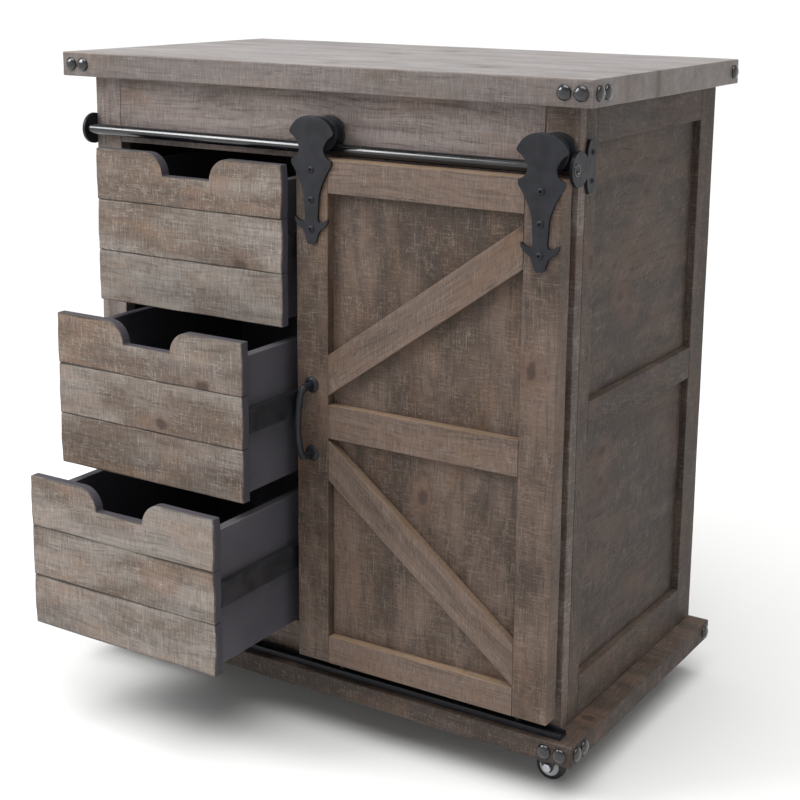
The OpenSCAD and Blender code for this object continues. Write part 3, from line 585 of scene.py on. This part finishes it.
def coated_steel(name, colour, lift, rough, mark, depth, coat=0.0, metal=0.0, gloss=0.5):
    """Iron or steel with a thin coat: the coat evens the colour, and the hammer or rolling marks under it catch the
    light. mark is the marks' spacing and depth their height, in millimetres. Moulded nylon and rubber have the same
    faint marks, from their moulds."""
    material, tree, shader = new_finish(name)
    place = put(tree, "TexCoord", out=3)
    spots = {"Vector": place, "Scale": 1 / (mark * MM), "Smoothness": 0.8}
    marks = put(tree, "TexVoronoi", spots, feature="SMOOTH_F1")
    fine = put(tree, "TexNoise", {"Vector": place, "Scale": 700.0, "Detail": 3.0})
    cloud = put(tree, "TexNoise", {"Vector": place, "Scale": 60.0, "Detail": 4.0})
    uneven = put(tree, "MapRange", {0: cloud, 1: 0.35, 2: 0.7})
    base = put(tree, "Mix", {0: uneven, 6: colour, 7: srgb(lift)}, out=2, data_type="RGBA")
    height = put(tree, "Math", {0: fine, 1: 0.12, 2: marks}, operation="MULTIPLY_ADD")
    bump = put(tree, "Bump", {"Height": height, "Strength": 0.6, "Distance": depth * MM})
    rough_map = put(tree, "MapRange", {0: cloud, 1: 0.3, 2: 0.7, 3: rough - 0.06, 4: rough + 0.08})
    tree.links.new(base, shader.inputs["Base Color"])
    tree.links.new(rough_map, shader.inputs["Roughness"])
    tree.links.new(bump, shader.inputs["Normal"])
    shader.inputs["Metallic"].default_value = metal
    shader.inputs["Specular IOR Level"].default_value = gloss
    shader.inputs["Coat Weight"].default_value = coat
    shader.inputs["Coat Roughness"].default_value = 0.12
    return material


# How each slot's finish is made, its common name, and what the maker takes beside the main colour.
# In each recipe the colour for faces that look up, and its share, paint the highlight of the light from above.
RECIPES = {
    # A dark rim in a recipe is painted shade in the seams between boards, and a light rim is worn wood with a painted
    # highlight.
    "weathered_boards": (sawn_fir, "Sawn fir, grey wash, boards", dict(
        brown="#42372f", dark="#251e1a", pale="#948d8a", tan="#65513f", rim="#6f6054", lit_top="#857f7e",
        lit_top_share=0.9, rough=0.42, gloss=0.5, worn=0.25, hatch=0.7, deep=0.85)),
    "weathered_face": (sawn_fir, "Sawn fir, grey wash, face frame", dict(
        brown="#51433a", dark="#2a211c", pale="#9f9692", tan="#735a49", rim="#372e27", lit_top="#8b8079",
        worn=0.35, hatch=0.9)),
    # This wash is darker partly as painted shade, for the sides that face away from the light.
    "weathered_sides": (sawn_fir, "Sawn fir, dark wash, sides", dict(
        brown="#2b1f17", dark="#120c09", pale="#807369", tan="#4f3b2c", rim="#1b130e", lit_top="#625246",
        hatch=0.9, deep=1.1, slant=0.3)),
    # The fronts' dark rim, 2.2 mm wide, is painted shade in the grooves between the planks.
    "weathered_fronts": (sawn_fir, "Sawn fir, beige wash, drawer fronts", dict(
        brown="#53453a", dark="#2a211b", pale="#a8a19a", tan="#785f4d", rim="#16110e", lit_top="#77706a",
        rim_width=2.2, worn=0.45, hatch=0.9, deep=0.8, painted="#36343a")),
    "weathered_door": (sawn_fir, "Sawn fir, brown wash, door", dict(
        brown="#36281d", dark="#18110c", pale="#8c7f74", tan="#5b422f", rim="#5a4836", lit_top="#877059",
        lit_top_share=0.7, worn=0.45, hatch=0.75, deep=0.85)),
    "plain_inner_wood": (sawn_fir, "Planed fir, thin stain, inside", dict(
        brown="#403228", dark="#261c17", pale="#695b4e", tan="#604a35", rim="#41342b", lit_top="#51443a", hatch=0.3)),
    "charcoal_paint": (brushed_paint, "Matt charcoal paint on board", dict(
        lift="#4a484e", rubbed="#67625f", rough=0.6)),
    "black_slide_steel": (coated_steel, "Black dipped sheet steel", dict(
        lift="#27272b", rough=0.42, mark=3.0, depth=0.03)),
    "forged_black_iron": (coated_steel, "Forged iron, matt black coat", dict(
        lift="#1d1e24", rough=0.46, mark=7.0, depth=0.3, gloss=0.25)),
    "gloss_black_enamel": (coated_steel, "Steel, gloss black enamel", dict(
        lift="#141418", rough=0.20, mark=5.0, depth=0.05, coat=0.4)),
    "zinc_plate": (coated_steel, "Zinc-plated steel", dict(
        lift="#c9ccd0", rough=0.32, mark=2.5, depth=0.02, metal=1.0)),
    "caster_steel": (coated_steel, "Pressed steel, black coat", dict(
        lift="#212125", rough=0.38, mark=4.0, depth=0.03, coat=0.2)),
    "hub_nylon": (coated_steel, "Moulded grey nylon", dict(lift="#b9bbbc", rough=0.45, mark=3.0, depth=0.02)),
    "tyre_rubber": (coated_steel, "Black rubber", dict(lift="#202021", rough=0.62, mark=2.0, depth=0.04)),
}
FINISHES = {}


def finish(slot):
    """A slot's finish, made when a piece first asks for it and again when its colour has been changed."""
    colour = tuple(getattr(bpy.context.scene.cart_colours, slot))
    if (slot, colour) not in FINISHES:
        make, name, looks = RECIPES[slot]
        FINISHES[slot, colour] = make(name, colour, **looks)
    return FINISHES[slot, colour]


# ---- Pieces ----


def sawn_piece(node, body, slot, along, seed, wear=None, tones=(0, 1)):
    """A CAD node of straight boards, made again as sawn planks. along is the grain's axis."""
    wood = bpy.context.scene.cart_wood
    rng = np.random.default_rng(wood.seed * 1000 + seed)
    shells = [
        plank(low, high, along, rng, wear or wood.wear, wood.step, tones=tones) for low, high, _ in solids(node)
    ]
    return weighted(finish_piece(node + "_sawn", shells, body, node, slot))


class CART_OT_boards(bpy.types.Operator):
    """Worktop and base board: thick planks with worn edges"""

    bl_idname = "cart.boards"
    bl_label = "Worktop and base board"

    def execute(self, context):
        # The thick planks are worn rounder than the frames' boards.
        wear = context.scene.cart_wood.wear * 1.4
        sawn_piece("worktop", "cabinet", "weathered_boards", 0, 1, wear)
        sawn_piece("base_board", "cabinet", "weathered_sides", 0, 2, wear)
        return {"FINISHED"}


class CART_OT_face_frame(bpy.types.Operator):
    """Face frame: stiles, mullion, header and bottom rail"""

    bl_idname = "cart.face_frame"
    bl_label = "Face frame"

    def execute(self, context):
        pieces = (("face_stiles", 2), ("face_mullion", 2), ("face_header", 0), ("face_bottom_rail", 0))
        for seed, (node, along) in enumerate(pieces, 3):
            sawn_piece(node, "cabinet", "weathered_face", along, seed)
        return {"FINISHED"}


class CART_OT_side_frames(bpy.types.Operator):
    """Side frames: upright planks, rails and sunk panels"""

    bl_idname = "cart.side_frames"
    bl_label = "Side frames"

    def execute(self, context):
        sawn_piece("side_stiles", "cabinet", "weathered_sides", 2, 7)
        sawn_piece("side_rails", "cabinet", "weathered_sides", 1, 8)
        sawn_piece("side_panels", "cabinet", "weathered_sides", 1, 9, context.scene.cart_wood.panel_wear)
        return {"FINISHED"}


class CART_OT_inner_boards(bpy.types.Operator):
    """Back panel, partition, cupboard floor, shelf and the drawers' runner blocks"""

    bl_idname = "cart.inner_boards"
    bl_label = "Inner boards"

    def execute(self, context):
        pieces = (("back_panel", 2), ("partition", 2), ("cupboard_floor", 0), ("shelf", 0), ("runner_blocks", 1))
        for seed, (node, along) in enumerate(pieces, 20):
            sawn_piece(node, "cabinet", "plain_inner_wood", along, seed, context.scene.cart_wood.panel_wear)
        coat_node("shelf_pins", "zinc_plate")
        coat_node("slide_channels", "black_slide_steel")
        return {"FINISHED"}


class CART_OT_drawers(bpy.types.Operator):
    """Three drawers: hewn plank fronts with a hand notch, painted boxes and bottoms, and steel slides"""

    bl_idname = "cart.drawers"
    bl_label = "Drawers"

    notch_width: FloatProperty(
        name="Notch width", description="Width of the hand notch at the top", default=127 * MM, unit="LENGTH"
    )
    notch_floor: FloatProperty(
        name="Notch floor", description="Width of the hand notch at its floor", default=75 * MM, unit="LENGTH"
    )
    notch_depth: FloatProperty(
        name="Notch depth", description="Depth of the hand notch", default=28 * MM, unit="LENGTH"
    )
    hew: FloatProperty(
        name="Hewn ends", description="How far the ends of the planks are hewn back", default=1.6 * MM, unit="LENGTH"
    )

    def execute(self, context):
        seed = context.scene.cart_wood.seed * 1000 + 40
        for number, name in enumerate(DRAWERS):
            rng = np.random.default_rng(seed + number)
            self.front(context.scene.cart_wood, name + "_drawer", rng)
            self.box(name + "_drawer", rng)
            coat_node(name + "_drawer_slides", "black_slide_steel")
        return {"FINISHED"}

    def front(self, wood, body, rng):
        """Three planks one above the other, the top one with the notch. The ends are hewn back by
        hew * (0.5 + 0.28 cos a + two slow sines), where a is one turn over a plank's height."""
        low, high = corners(body + "_front")
        planks = 3
        plank_high = (high[2] - low[2]) / planks
        middle, half = (low[0] + high[0]) / 2, (high[0] - low[0]) / 2
        notch_x, notch_z = self.notch_curve(middle, high[2])
        shells = []
        for k in range(planks):
            bottom, top = low[2] + k * plank_high, low[2] + (k + 1) * plank_high

            def warp(p, k=k, bottom=bottom, top=top, phase=rng.uniform(0, 6.3, 4)):
                """Draws the ends in where they are hewn, and the top plank's height down to the notch's curve."""
                p = p.copy()
                turn = 2 * math.pi * (p[:, 2] - bottom) / plank_high
                even = 0.5 + 0.28 * np.cos(turn)
                right = even + 0.2 * np.sin(0.7 * turn + phase[0]) + 0.12 * np.sin(2.3 * turn + phase[1])
                left = even + 0.2 * np.sin(0.8 * turn + phase[2]) + 0.12 * np.sin(2.6 * turn + phase[3])
                share = (p[:, 0] - middle) / half
                at_end = np.clip(np.abs(share) * 12 - 11, 0, 1)
                p[:, 0] -= self.hew * np.where(share > 0, right, -left) * at_end
                if k == planks - 1:
                    reach = np.interp(p[:, 0], notch_x, notch_z)
                    p[:, 2] = bottom + (p[:, 2] - bottom) * (reach - bottom) / (top - bottom)
                return p

            shells.append(plank(
                (low[0], low[1], bottom), (high[0], high[1], top), 0, rng, wood.front_wear, 9 * MM,
                places={0: notch_x} if k == planks - 1 else {}, warp=warp, straight=True,
            ))
        weighted(finish_piece(body + "_planks", shells, body, body + "_front", "weathered_fronts"))

    def notch_curve(self, middle, top):
        """X places and heights of a front's top edge: flat, a quarter of an ellipse down to the notch's floor, and
        the same back up."""
        a = np.radians(np.linspace(0, 90, 19))
        shoulder = (self.notch_width - self.notch_floor) / 2
        x = self.notch_floor / 2 + shoulder * (1 - np.cos(a))
        z = self.notch_depth * (np.sin(a) - 1)
        return np.concatenate([middle - x[::-1], middle + x]), np.concatenate([top + z[::-1], top + z])

    def box(self, body, rng):
        """Two sides, a back and a bottom, painted."""
        low, high = corners(body + "_box")
        wall = 12 * MM
        boards = [
            (low, (low[0] + wall, high[1], high[2]), 1),
            ((high[0] - wall, low[1], low[2]), high, 1),
            ((low[0] + wall, high[1] - wall, low[2]), (high[0] - wall, high[1], high[2]), 0),
        ]
        shells = [plank(a, b, way, rng, 1.2 * MM, 24 * MM, 0.1 * MM) for a, b, way in boards]
        weighted(finish_piece(body + "_box_painted", shells, body, body + "_box", "charcoal_paint"))
        low, high = corners(body + "_bottom")
        shells = [plank(low, high, 0, rng, 0.5 * MM, 30 * MM, 0.05 * MM)]
        weighted(finish_piece(body + "_bottom_painted", shells, body, body + "_bottom", "charcoal_paint"))


class CART_OT_door(bpy.types.Operator):
    """Barn door: two stiles, three rails, two slanted braces and sunk panels"""

    bl_idname = "cart.door"
    bl_label = "Barn door"

    def execute(self, context):
        wood = context.scene.cart_wood
        # The stiles and panels took less wash than the rails and braces.
        bare, washed = (0, 0.6), (1.1, 1.6)
        sawn_piece("door_stiles", "door", "weathered_door", 2, 60, tones=bare)
        sawn_piece("door_rails", "door", "weathered_door", 0, 61, tones=washed)
        sawn_piece("door_panels", "door", "weathered_door", 2, 62, wood.panel_wear, tones=bare)
        rng = np.random.default_rng(wood.seed * 1000 + 63)
        shells = []
        for low, high, points in solids("door_braces"):
            left = points[points[:, 0] < low[0] + 0.1 * MM, 2]
            right = points[points[:, 0] > high[0] - 0.1 * MM, 2]
            slope = (right.min() - left.min()) / (high[0] - low[0])

            def warp(p, low=low, slope=slope):
                """Slants an upright-cut board: z + slope * (x - left)."""
                return p + np.stack([p[:, 0] * 0, p[:, 0] * 0, slope * (p[:, 0] - low[0])], -1)

            shape, faces, held = plank(
                (low[0], low[1], left.min()), (high[0], high[1], left.max()), 0, rng, wood.wear, wood.step,
                warp=warp, tones=washed,
            )
            held["grain"][:, 0] *= 1 / math.cos(math.atan(slope))
            shells.append((shape, faces, held))
        weighted(finish_piece("door_braces_sawn", shells, "door", "door_braces", "weathered_door"))
        return {"FINISHED"}


def screw_head(base, axis, r, height):
    """A domed head with a hexagon socket: a quarter ellipse over the rim, then down into a pit. The pit's radius
    changes with the angle as a hexagon's does, cos 30 / cos of the angle within a sixth of a turn."""
    t = np.radians(np.linspace(0, 70, 10))
    pit = 0.36 * r
    profile = np.concatenate([
        [(0, 0), (r, 0)], np.stack([r * np.cos(t), height * np.sin(t)], -1),
        [(pit, height * 0.97), (pit, height * 0.30), (0, height * 0.26)],
    ])
    points, faces, _ = turned(profile, (0, 0, 0), (0, 0, 1), 36)
    ring = np.hypot(points[:, 0], points[:, 1])
    angle = np.arctan2(points[:, 1], points[:, 0]) % (math.pi / 3) - math.pi / 6
    inside = (ring < pit * 1.05) & (ring > MM * MM)
    points[:, :2] *= np.where(inside, math.cos(math.pi / 6) / np.cos(angle) * 1.1, 1)[:, None]
    axis = np.array(axis, float)
    side = np.cross(axis, [0, 0, 1] if abs(axis[2]) < 0.9 else [1, 0, 0])
    side /= np.linalg.norm(side)
    turn = np.stack([side, np.cross(axis, side), axis])
    return np.array(base) + points @ turn, faces, {}


class CART_OT_rail(bpy.types.Operator):
    """Round rail with forged end plates and their screws, and the floor guide"""

    bl_idname = "cart.rail"
    bl_label = "Rail and guide"

    def execute(self, context):
        iron = context.scene.cart_iron
        low, high = corners("rail_bar")
        middle, r, half = (low + high) / 2, (high[2] - low[2]) / 2, (high[0] - low[0]) / 2
        bore = r - 1.6 * MM
        # One end of the tube, from its bore out over the rim.
        end = np.array([
            (0, half - 4 * MM), (bore, half - 4 * MM), (bore, half - 0.3 * MM),
            (r - 1.2 * MM, half), (r - 0.4 * MM, half), (r, half - 0.5 * MM),
        ])
        length = np.linspace((r, half - 3 * MM), (r, 3 * MM - half), 40)
        profile = np.concatenate([end, length, (end * [1, -1])[::-1]])
        shells = [turned(profile, middle, (1, 0, 0), iron.segments)]
        finish_piece("rail_bar_round", shells, "cabinet", "rail_bar", "gloss_black_enamel")
        eased_copy("rail_plates_forged", "rail_plates", iron.forged_ease, ["forged_black_iron"])
        shells = []
        for low, high, _ in solids("plate_screws"):
            out = -1 if low[0] < 0 else 1
            base = (low[0] if out > 0 else high[0], (low[1] + high[1]) / 2, (low[2] + high[2]) / 2)
            shells.append(screw_head(base, (out, 0, 0), (high[2] - low[2]) / 2, high[0] - low[0]))
        finish_piece("plate_screws_domed", shells, "cabinet", "plate_screws", "forged_black_iron")
        # The guide is rolled from thicker steel, so its edges are a quarter rounder.
        eased_copy("floor_guide_channel", "floor_guide", iron.ease * 1.25, ["forged_black_iron"])
        return {"FINISHED"}


class CART_OT_hangers(bpy.types.Operator):
    """Hanger straps with their axles and screws, and the two grooved rollers"""

    bl_idname = "cart.hangers"
    bl_label = "Hangers and rollers"

    def execute(self, context):
        self.straps()
        self.screws()
        for side in ("left", "right"):
            self.roller(side + "_roller", context.scene.cart_iron.segments)
        return {"FINISHED"}

    def straps(self):
        """Each strap is a forged outline, 3 mm thick, with the roller's axle through its round head."""
        # Each stretch of the right half's outline, with the heights on the middle line that its ends are joined to,
        # in millimetres from the axle.
        stretches = (
            (bend((0, 24), (22.3, 24), (31, 5)), 24, 5),
            (bend((29, 2), (20.5, -2), (16.5, -14)), 2, -14),
            (bend((17, -17), (18.5, -25), (28, -28)), -17, -30),
            (bend((28, -33), (13.5, -53), (10, -71)), -33, -71),
            (bend((8.5, -96), (8.5, -104.5), (15, -102)), -96, -110),
            (bend((17, -101.5), (21, -100), (23.5, -97)), -111, -115),
            (bend((23, -101), (19, -107.5), (13, -110.5)), -115.5, -117),
            (bend((12, -111.5), (9, -114), (6.5, -125)), -118, -126),
            (np.array([(3.5, -128.0)]), -128, -128),
        )
        right = np.concatenate([stretch for stretch, _, _ in stretches]) * MM
        spine = np.concatenate([np.linspace(top, low, len(stretch)) for stretch, top, low in stretches]) * MM
        outline = np.concatenate([right, (right * [-1, 1])[:0:-1]])
        spine = np.concatenate([spine, spine[:0:-1]])
        shells = []
        for low, high, _ in solids("hanger_straps"):
            x, z = (low[0] + high[0]) / 2, high[2] - 24 * MM
            points, faces, held = slab(outline, spine, low[1], low[1] + 3 * MM, 0.6 * MM)
            shells.append((points + [x, 0, z], faces, held))
            reach = (high[1] - low[1]) / MM
            axle = np.array([(0, 3), (7, 3), (7, 16.3), (4, 16.3), (4, reach - 0.6), (3.4, reach), (0, reach)]) * MM
            shells.append(turned(axle, (x, low[1], z), (0, 1, 0), 40))
        weighted(finish_piece("hanger_straps_forged", shells, "door", "hanger_straps", "forged_black_iron"))

    def screws(self):
        """Screws with domed heads on the straps and thin shanks into the door."""
        head = 2.4 * MM
        shank = np.array([(0, 2.4), (1.8, 2.4), (1.8, 17), (0.4, 17.4), (0, 17.4)]) * MM
        shells = []
        for low, high, _ in solids("hanger_screws"):
            x, z = (low[0] + high[0]) / 2, (low[2] + high[2]) / 2
            shells.append(screw_head((x, low[1] + head, z), (0, -1, 0), (high[0] - low[0]) / 2, head))
            shells.append(turned(shank, (x, low[1], z), (0, 1, 0), 20))
        weighted(finish_piece("hanger_screws_domed", shells, "door", "hanger_screws", "forged_black_iron"))

    def roller(self, name, segments):
        """A turned roller: a bored hub, a step on each face, and a half round groove that runs on the rail."""
        low, high = corners(name)
        middle, r, half = (low + high) / 2, (high[2] - low[2]) / 2, (high[1] - low[1]) / 2
        t = np.radians(np.linspace(0, 180, 19))
        groove = np.stack([17.3 - 7.3 * np.sin(t), -7.3 * np.cos(t)], -1) * MM
        bore, lip, sunk = 4.05 * MM, 0.8 * MM, 1.2 * MM
        face = np.array([
            (bore, half), (8 * MM, half), (9 * MM, half - sunk), (r - 4 * MM, half - sunk), (r - 3 * MM, half),
            (r - lip, half), (r, half - 0.6 * MM), (r, 7.9 * MM), (r - lip, 7.3 * MM),
        ])
        profile = np.concatenate([face * [1, -1], groove, face[::-1]])
        shells = [turned(profile, middle, (0, 1, 0), segments, closed=True)]
        weighted(finish_piece(name + "_turned", shells, name, name, "forged_black_iron"))


class CART_OT_pull(bpy.types.Operator):
    """Arched door pull on two posts, and the guide pins under the door"""

    bl_idname = "cart.pull"
    bl_label = "Door pull and guide pins"

    def execute(self, context):
        low, high = corners("door_pull")
        x, z = (low[0] + high[0]) / 2, (low[2] + high[2]) / 2
        post, foot, bar = 14 * MM, 43.5 * MM, 4.2 * MM
        face = high[1] - post
        out = face - low[1] - bar
        t = np.linspace(-1, 1, 61) * math.pi / 2
        bow = np.stack([np.full(61, x), face - post - (out - post) * np.cos(t) ** 0.8, z + foot * np.sin(t)], -1)
        rise = np.linspace(0, 1, 9)[:, None] * [0, -post, 0]
        path = np.concatenate([
            [[x, face, z - foot]] + rise, bow[3:-3], [[x, face - post, z + foot]] - rise,
        ])
        # The bar swells by 0.9 mm where it leaves its posts and thins by 0.5 mm in the middle.
        along = np.linspace(-1, 1, len(path))
        swell = 0.9 * np.exp(-((np.abs(along) - 0.72) / 0.06) ** 2) - 0.5 * np.exp(-(along / 0.35) ** 2)
        radii = bar + swell * MM
        radii[0] = radii[-1] = 0
        shells = [swept(path, radii, 28)]
        rose = np.array([(0, 0), (10, 0), (10, 0.8), (9.4, 1.6), (7.6, 2.4), (7.2, 3), (6.2, 3.4), (0, 3.4)]) * MM
        screw = np.array([(0, 0), (2.5, 0), (2.5, 13.6), (2, 14), (0, 14)]) * MM
        for end in (-foot, foot):
            shells.append(turned(rose, (x, face, z + end), (0, -1, 0), 40))
            shells.append(turned(screw, (x, face, z + end), (0, 1, 0), 20))
        weighted(finish_piece("door_pull_arched", shells, "door", "door_pull", "forged_black_iron"))
        eased_copy("guide_pins_eased", "guide_pins", context.scene.cart_iron.ease, ["forged_black_iron"])
        return {"FINISHED"}


class CART_OT_studs(bpy.types.Operator):
    """Domed corner studs with light hammer marks"""

    bl_idname = "cart.studs"
    bl_label = "Corner studs"

    def execute(self, context):
        iron = context.scene.cart_iron
        rng = np.random.default_rng(90)
        t = np.radians(np.linspace(0, 90, 16))
        shells = []
        for low, high, _ in solids("corner_studs"):
            size, middle = high - low, (low + high) / 2
            axis = int(np.argmin(size))
            way = np.zeros(3)
            way[axis] = -1.0 if middle[axis] < 0 else 1.0
            base = middle - way * size[axis] / 2
            r, rise = max(size) / 2, size[axis]
            dome = np.stack([r * np.cos(t), rise * (0.10 + 0.90 * np.sin(t))], -1)

            def dent(p, rise=rise, base=base, way=way):
                """Pushes the dome in where hammer marks 4 mm across fall, and not at its rim."""
                up = (p - base) @ way / rise
                return iron.dent * np.clip(up * 2 - 0.3, 0, 1) * (0.5 + 0.5 * ripple(p, rng, 0.005))

            profile = np.concatenate([[(0, 0), (r * 0.97, 0)], dome])
            shells.append(turned(profile, base, way, 48, dent=dent))
        finish_piece("corner_studs_domed", shells, "cabinet", "corner_studs", "gloss_black_enamel")
        return {"FINISHED"}


class CART_OT_casters(bpy.types.Operator):
    """Four casters: plate and screws, pressed fork, grey hub, rubber tyre and the front brakes"""

    bl_idname = "cart.casters"
    bl_label = "Casters"

    def execute(self, context):
        ease = context.scene.cart_iron.ease
        eased_copy("caster_plates_pressed", "caster_plates", ease, ["caster_steel"])
        head = 1.6 * MM
        shells = []
        for low, high, _ in solids("caster_screws"):
            base = ((low[0] + high[0]) / 2, (low[1] + high[1]) / 2, low[2] + head)
            shells.append(screw_head(base, (0, 0, -1), (high[0] - low[0]) / 2, head))
        finish_piece("caster_screws_domed", shells, "cabinet", "caster_screws", "zinc_plate")
        for name in CASTERS:
            # The forks and brakes are thinner than the plates, so their edges are an eighth sharper.
            self.caster(name, ease * 0.875)
        return {"FINISHED"}

    def caster(self, name, ease):
        """One caster's fork, brake, tyre and hub. The tyre's crown and the hub's stepped faces are turned."""
        low, high = corners(name + "_tyre")
        middle, r, half = (low + high) / 2, (high[2] - low[2]) / 2, (high[1] - low[1]) / 2

        def bolt(p):
            """The axle bolt's heads are plain zinc, and the pressed cheeks are black."""
            ring = np.hypot(p[:, 0] - middle[0], p[:, 2] - middle[2])
            return (ring < 0.34 * r) & (np.abs(p[:, 1] - middle[1]) > half + 3.65 * MM)

        eased_copy(name + "_fork_pressed", name + "_fork", ease, ["caster_steel", "zinc_plate"], pick=bolt)
        if name + "_brake" in frame["nodes"]:
            eased_copy(name + "_brake_pressed", name + "_brake", ease, ["caster_steel"])
        t = np.radians(np.linspace(-90, 90, 13))
        crown = np.stack([r - 2.6 * MM * (1 - np.cos(t)), (half - 1.2 * MM) * np.sin(t)], -1)
        rim, wall = 13 * MM, r - 4.2 * MM
        tyre = np.concatenate([[(rim, -half), (wall, -half)], crown, [(wall, half), (rim, half)]])
        shells = [turned(tyre, middle, (0, 1, 0), 72, closed=True)]
        weighted(finish_piece(name + "_tyre_round", shells, name + "_wheel", name + "_tyre", "tyre_rubber"))
        # Radius, and how far the hub's face stands in from the tyre's side.
        steps = np.array([
            (3.05, -0.6), (6, -0.6), (6.6, -0.1), (7, 2), (10.6, 2), (11.6, 0.5), (12.6, 0.4), (rim / MM, 0.8),
        ]) * MM
        face = np.stack([steps[:, 0], half - steps[:, 1]], -1)
        shells = [turned(np.concatenate([face * [1, -1], face[::-1]]), middle, (0, 1, 0), 72, closed=True)]
        weighted(finish_piece(name + "_hub_moulded", shells, name + "_wheel", name + "_hub", "hub_nylon"))


class CART_OT_stage(bpy.types.Operator):
    """Pale floor, soft light and the camera"""

    bl_idname = "cart.stage"
    bl_label = "Stage"

    def execute(self, context):
        stage = context.scene.cart_stage
        self.floor(context.scene, stage)
        self.lights(context.scene, stage)
        self.camera(context.scene, stage)
        return {"FINISHED"}

    def floor(self, scene, stage):
        """A wide matt floor."""
        half = stage.floor_size / 2
        mesh = bpy.data.meshes.new("floor")
        square = [(-half, -half, 0), (half, -half, 0), (half, half, 0), (-half, half, 0)]
        mesh.from_pydata(square, [], [(0, 1, 2, 3)])
        floor = bpy.data.objects.new("floor", mesh)
        scene.collection.objects.link(floor)
        material, _, shader = new_finish("Pale painted floor")
        shader.inputs["Base Color"].default_value = stage.floor_colour
        shader.inputs["Roughness"].default_value = 0.9
        mesh.materials.append(material)

    def lights(self, scene, stage):
        """A wide light from above, a softbox at the front left and bright walls."""
        sun = bpy.data.lights.new("overhead", "SUN")
        sun.energy, sun.angle = stage.overhead, math.radians(60)
        box = bpy.data.lights.new("softbox", "AREA")
        box.energy, box.size = stage.softbox, 0.9
        for light, place, turn in ((sun, (0, 0, 3), (14, 0, 20)), (box, (-1.25, -1.35, 1.7), (56, 0, -42))):
            lamp = bpy.data.objects.new(light.name, light)
            lamp.location = place
            lamp.rotation_euler = [math.radians(x) for x in turn]
            scene.collection.objects.link(lamp)
        world = bpy.data.worlds.new("Studio")
        world.use_nodes = True
        # The walls of the studio are white up to 13 degrees above the floor, and its ceiling is dim.
        tree, ground = world.node_tree, world.node_tree.nodes["Background"]
        height = put(tree, "SeparateXYZ", {0: put(tree, "TexCoord")}, out=2)
        strength = put(tree, "MapRange", {0: height, 1: 0.22, 2: 0.5, 3: 1.0, 4: 0.38})
        tree.links.new(strength, ground.inputs["Strength"])
        ground.inputs["Color"].default_value = (1, 1, 1, 1)
        scene.world = world
        scene.view_settings.view_transform = "Standard"

    def camera(self, scene, stage):
        """The camera, at the height and angle of somebody who looks at the cart from its right corner."""
        data = bpy.data.cameras.new("camera")
        data.lens, data.sensor_width, data.shift_y = stage.lens, 36.0, stage.shift
        data.clip_start, data.clip_end = 0.05, 500.0
        camera = bpy.data.objects.new("camera", data)
        heading, dip, roll = stage.camera_turn
        camera.location = stage.camera_place
        camera.rotation_euler = (math.pi / 2 - dip, roll, heading)
        scene.collection.objects.link(camera)
        scene.camera = camera


class CART_PT_panel(bpy.types.Panel):
    """The cart's sizes and colours, and the buttons that build its pieces"""

    bl_label = "Kitchen island cart"
    bl_space_type = "VIEW_3D"
    bl_region_type = "UI"
    bl_category = "Cart"

    def draw(self, context):
        for key, group in GROUPS.items():
            for name in group.__annotations__:
                self.layout.prop(getattr(context.scene, key), name)
        for operator in OPERATORS:
            self.layout.operator(operator.bl_idname)


GROUPS = {"cart_wood": CartWood, "cart_iron": CartIron, "cart_colours": CartColours, "cart_stage": CartStage}
OPERATORS = (
    CART_OT_boards, CART_OT_face_frame, CART_OT_side_frames, CART_OT_inner_boards, CART_OT_drawers, CART_OT_door,
    CART_OT_rail, CART_OT_hangers, CART_OT_pull, CART_OT_studs, CART_OT_casters, CART_OT_stage,
)


def register():
    """Registers the property groups, the operators and the panel."""
    for name, group in GROUPS.items():
        bpy.utils.register_class(group)
        setattr(bpy.types.Scene, name, PointerProperty(type=group))
    for made in (*OPERATORS, CART_PT_panel):
        bpy.utils.register_class(made)


def unregister():
    """Takes back what register did, in the opposite order."""
    for made in reversed((*OPERATORS, CART_PT_panel)):
        bpy.utils.unregister_class(made)
    for name, group in reversed(GROUPS.items()):
        delattr(bpy.types.Scene, name)
        bpy.utils.unregister_class(group)


def main():
    register()
    for operator in OPERATORS:
        getattr(bpy.ops.cart, operator.bl_idname.split(".")[1])()


if __name__ == "__main__":
    main()
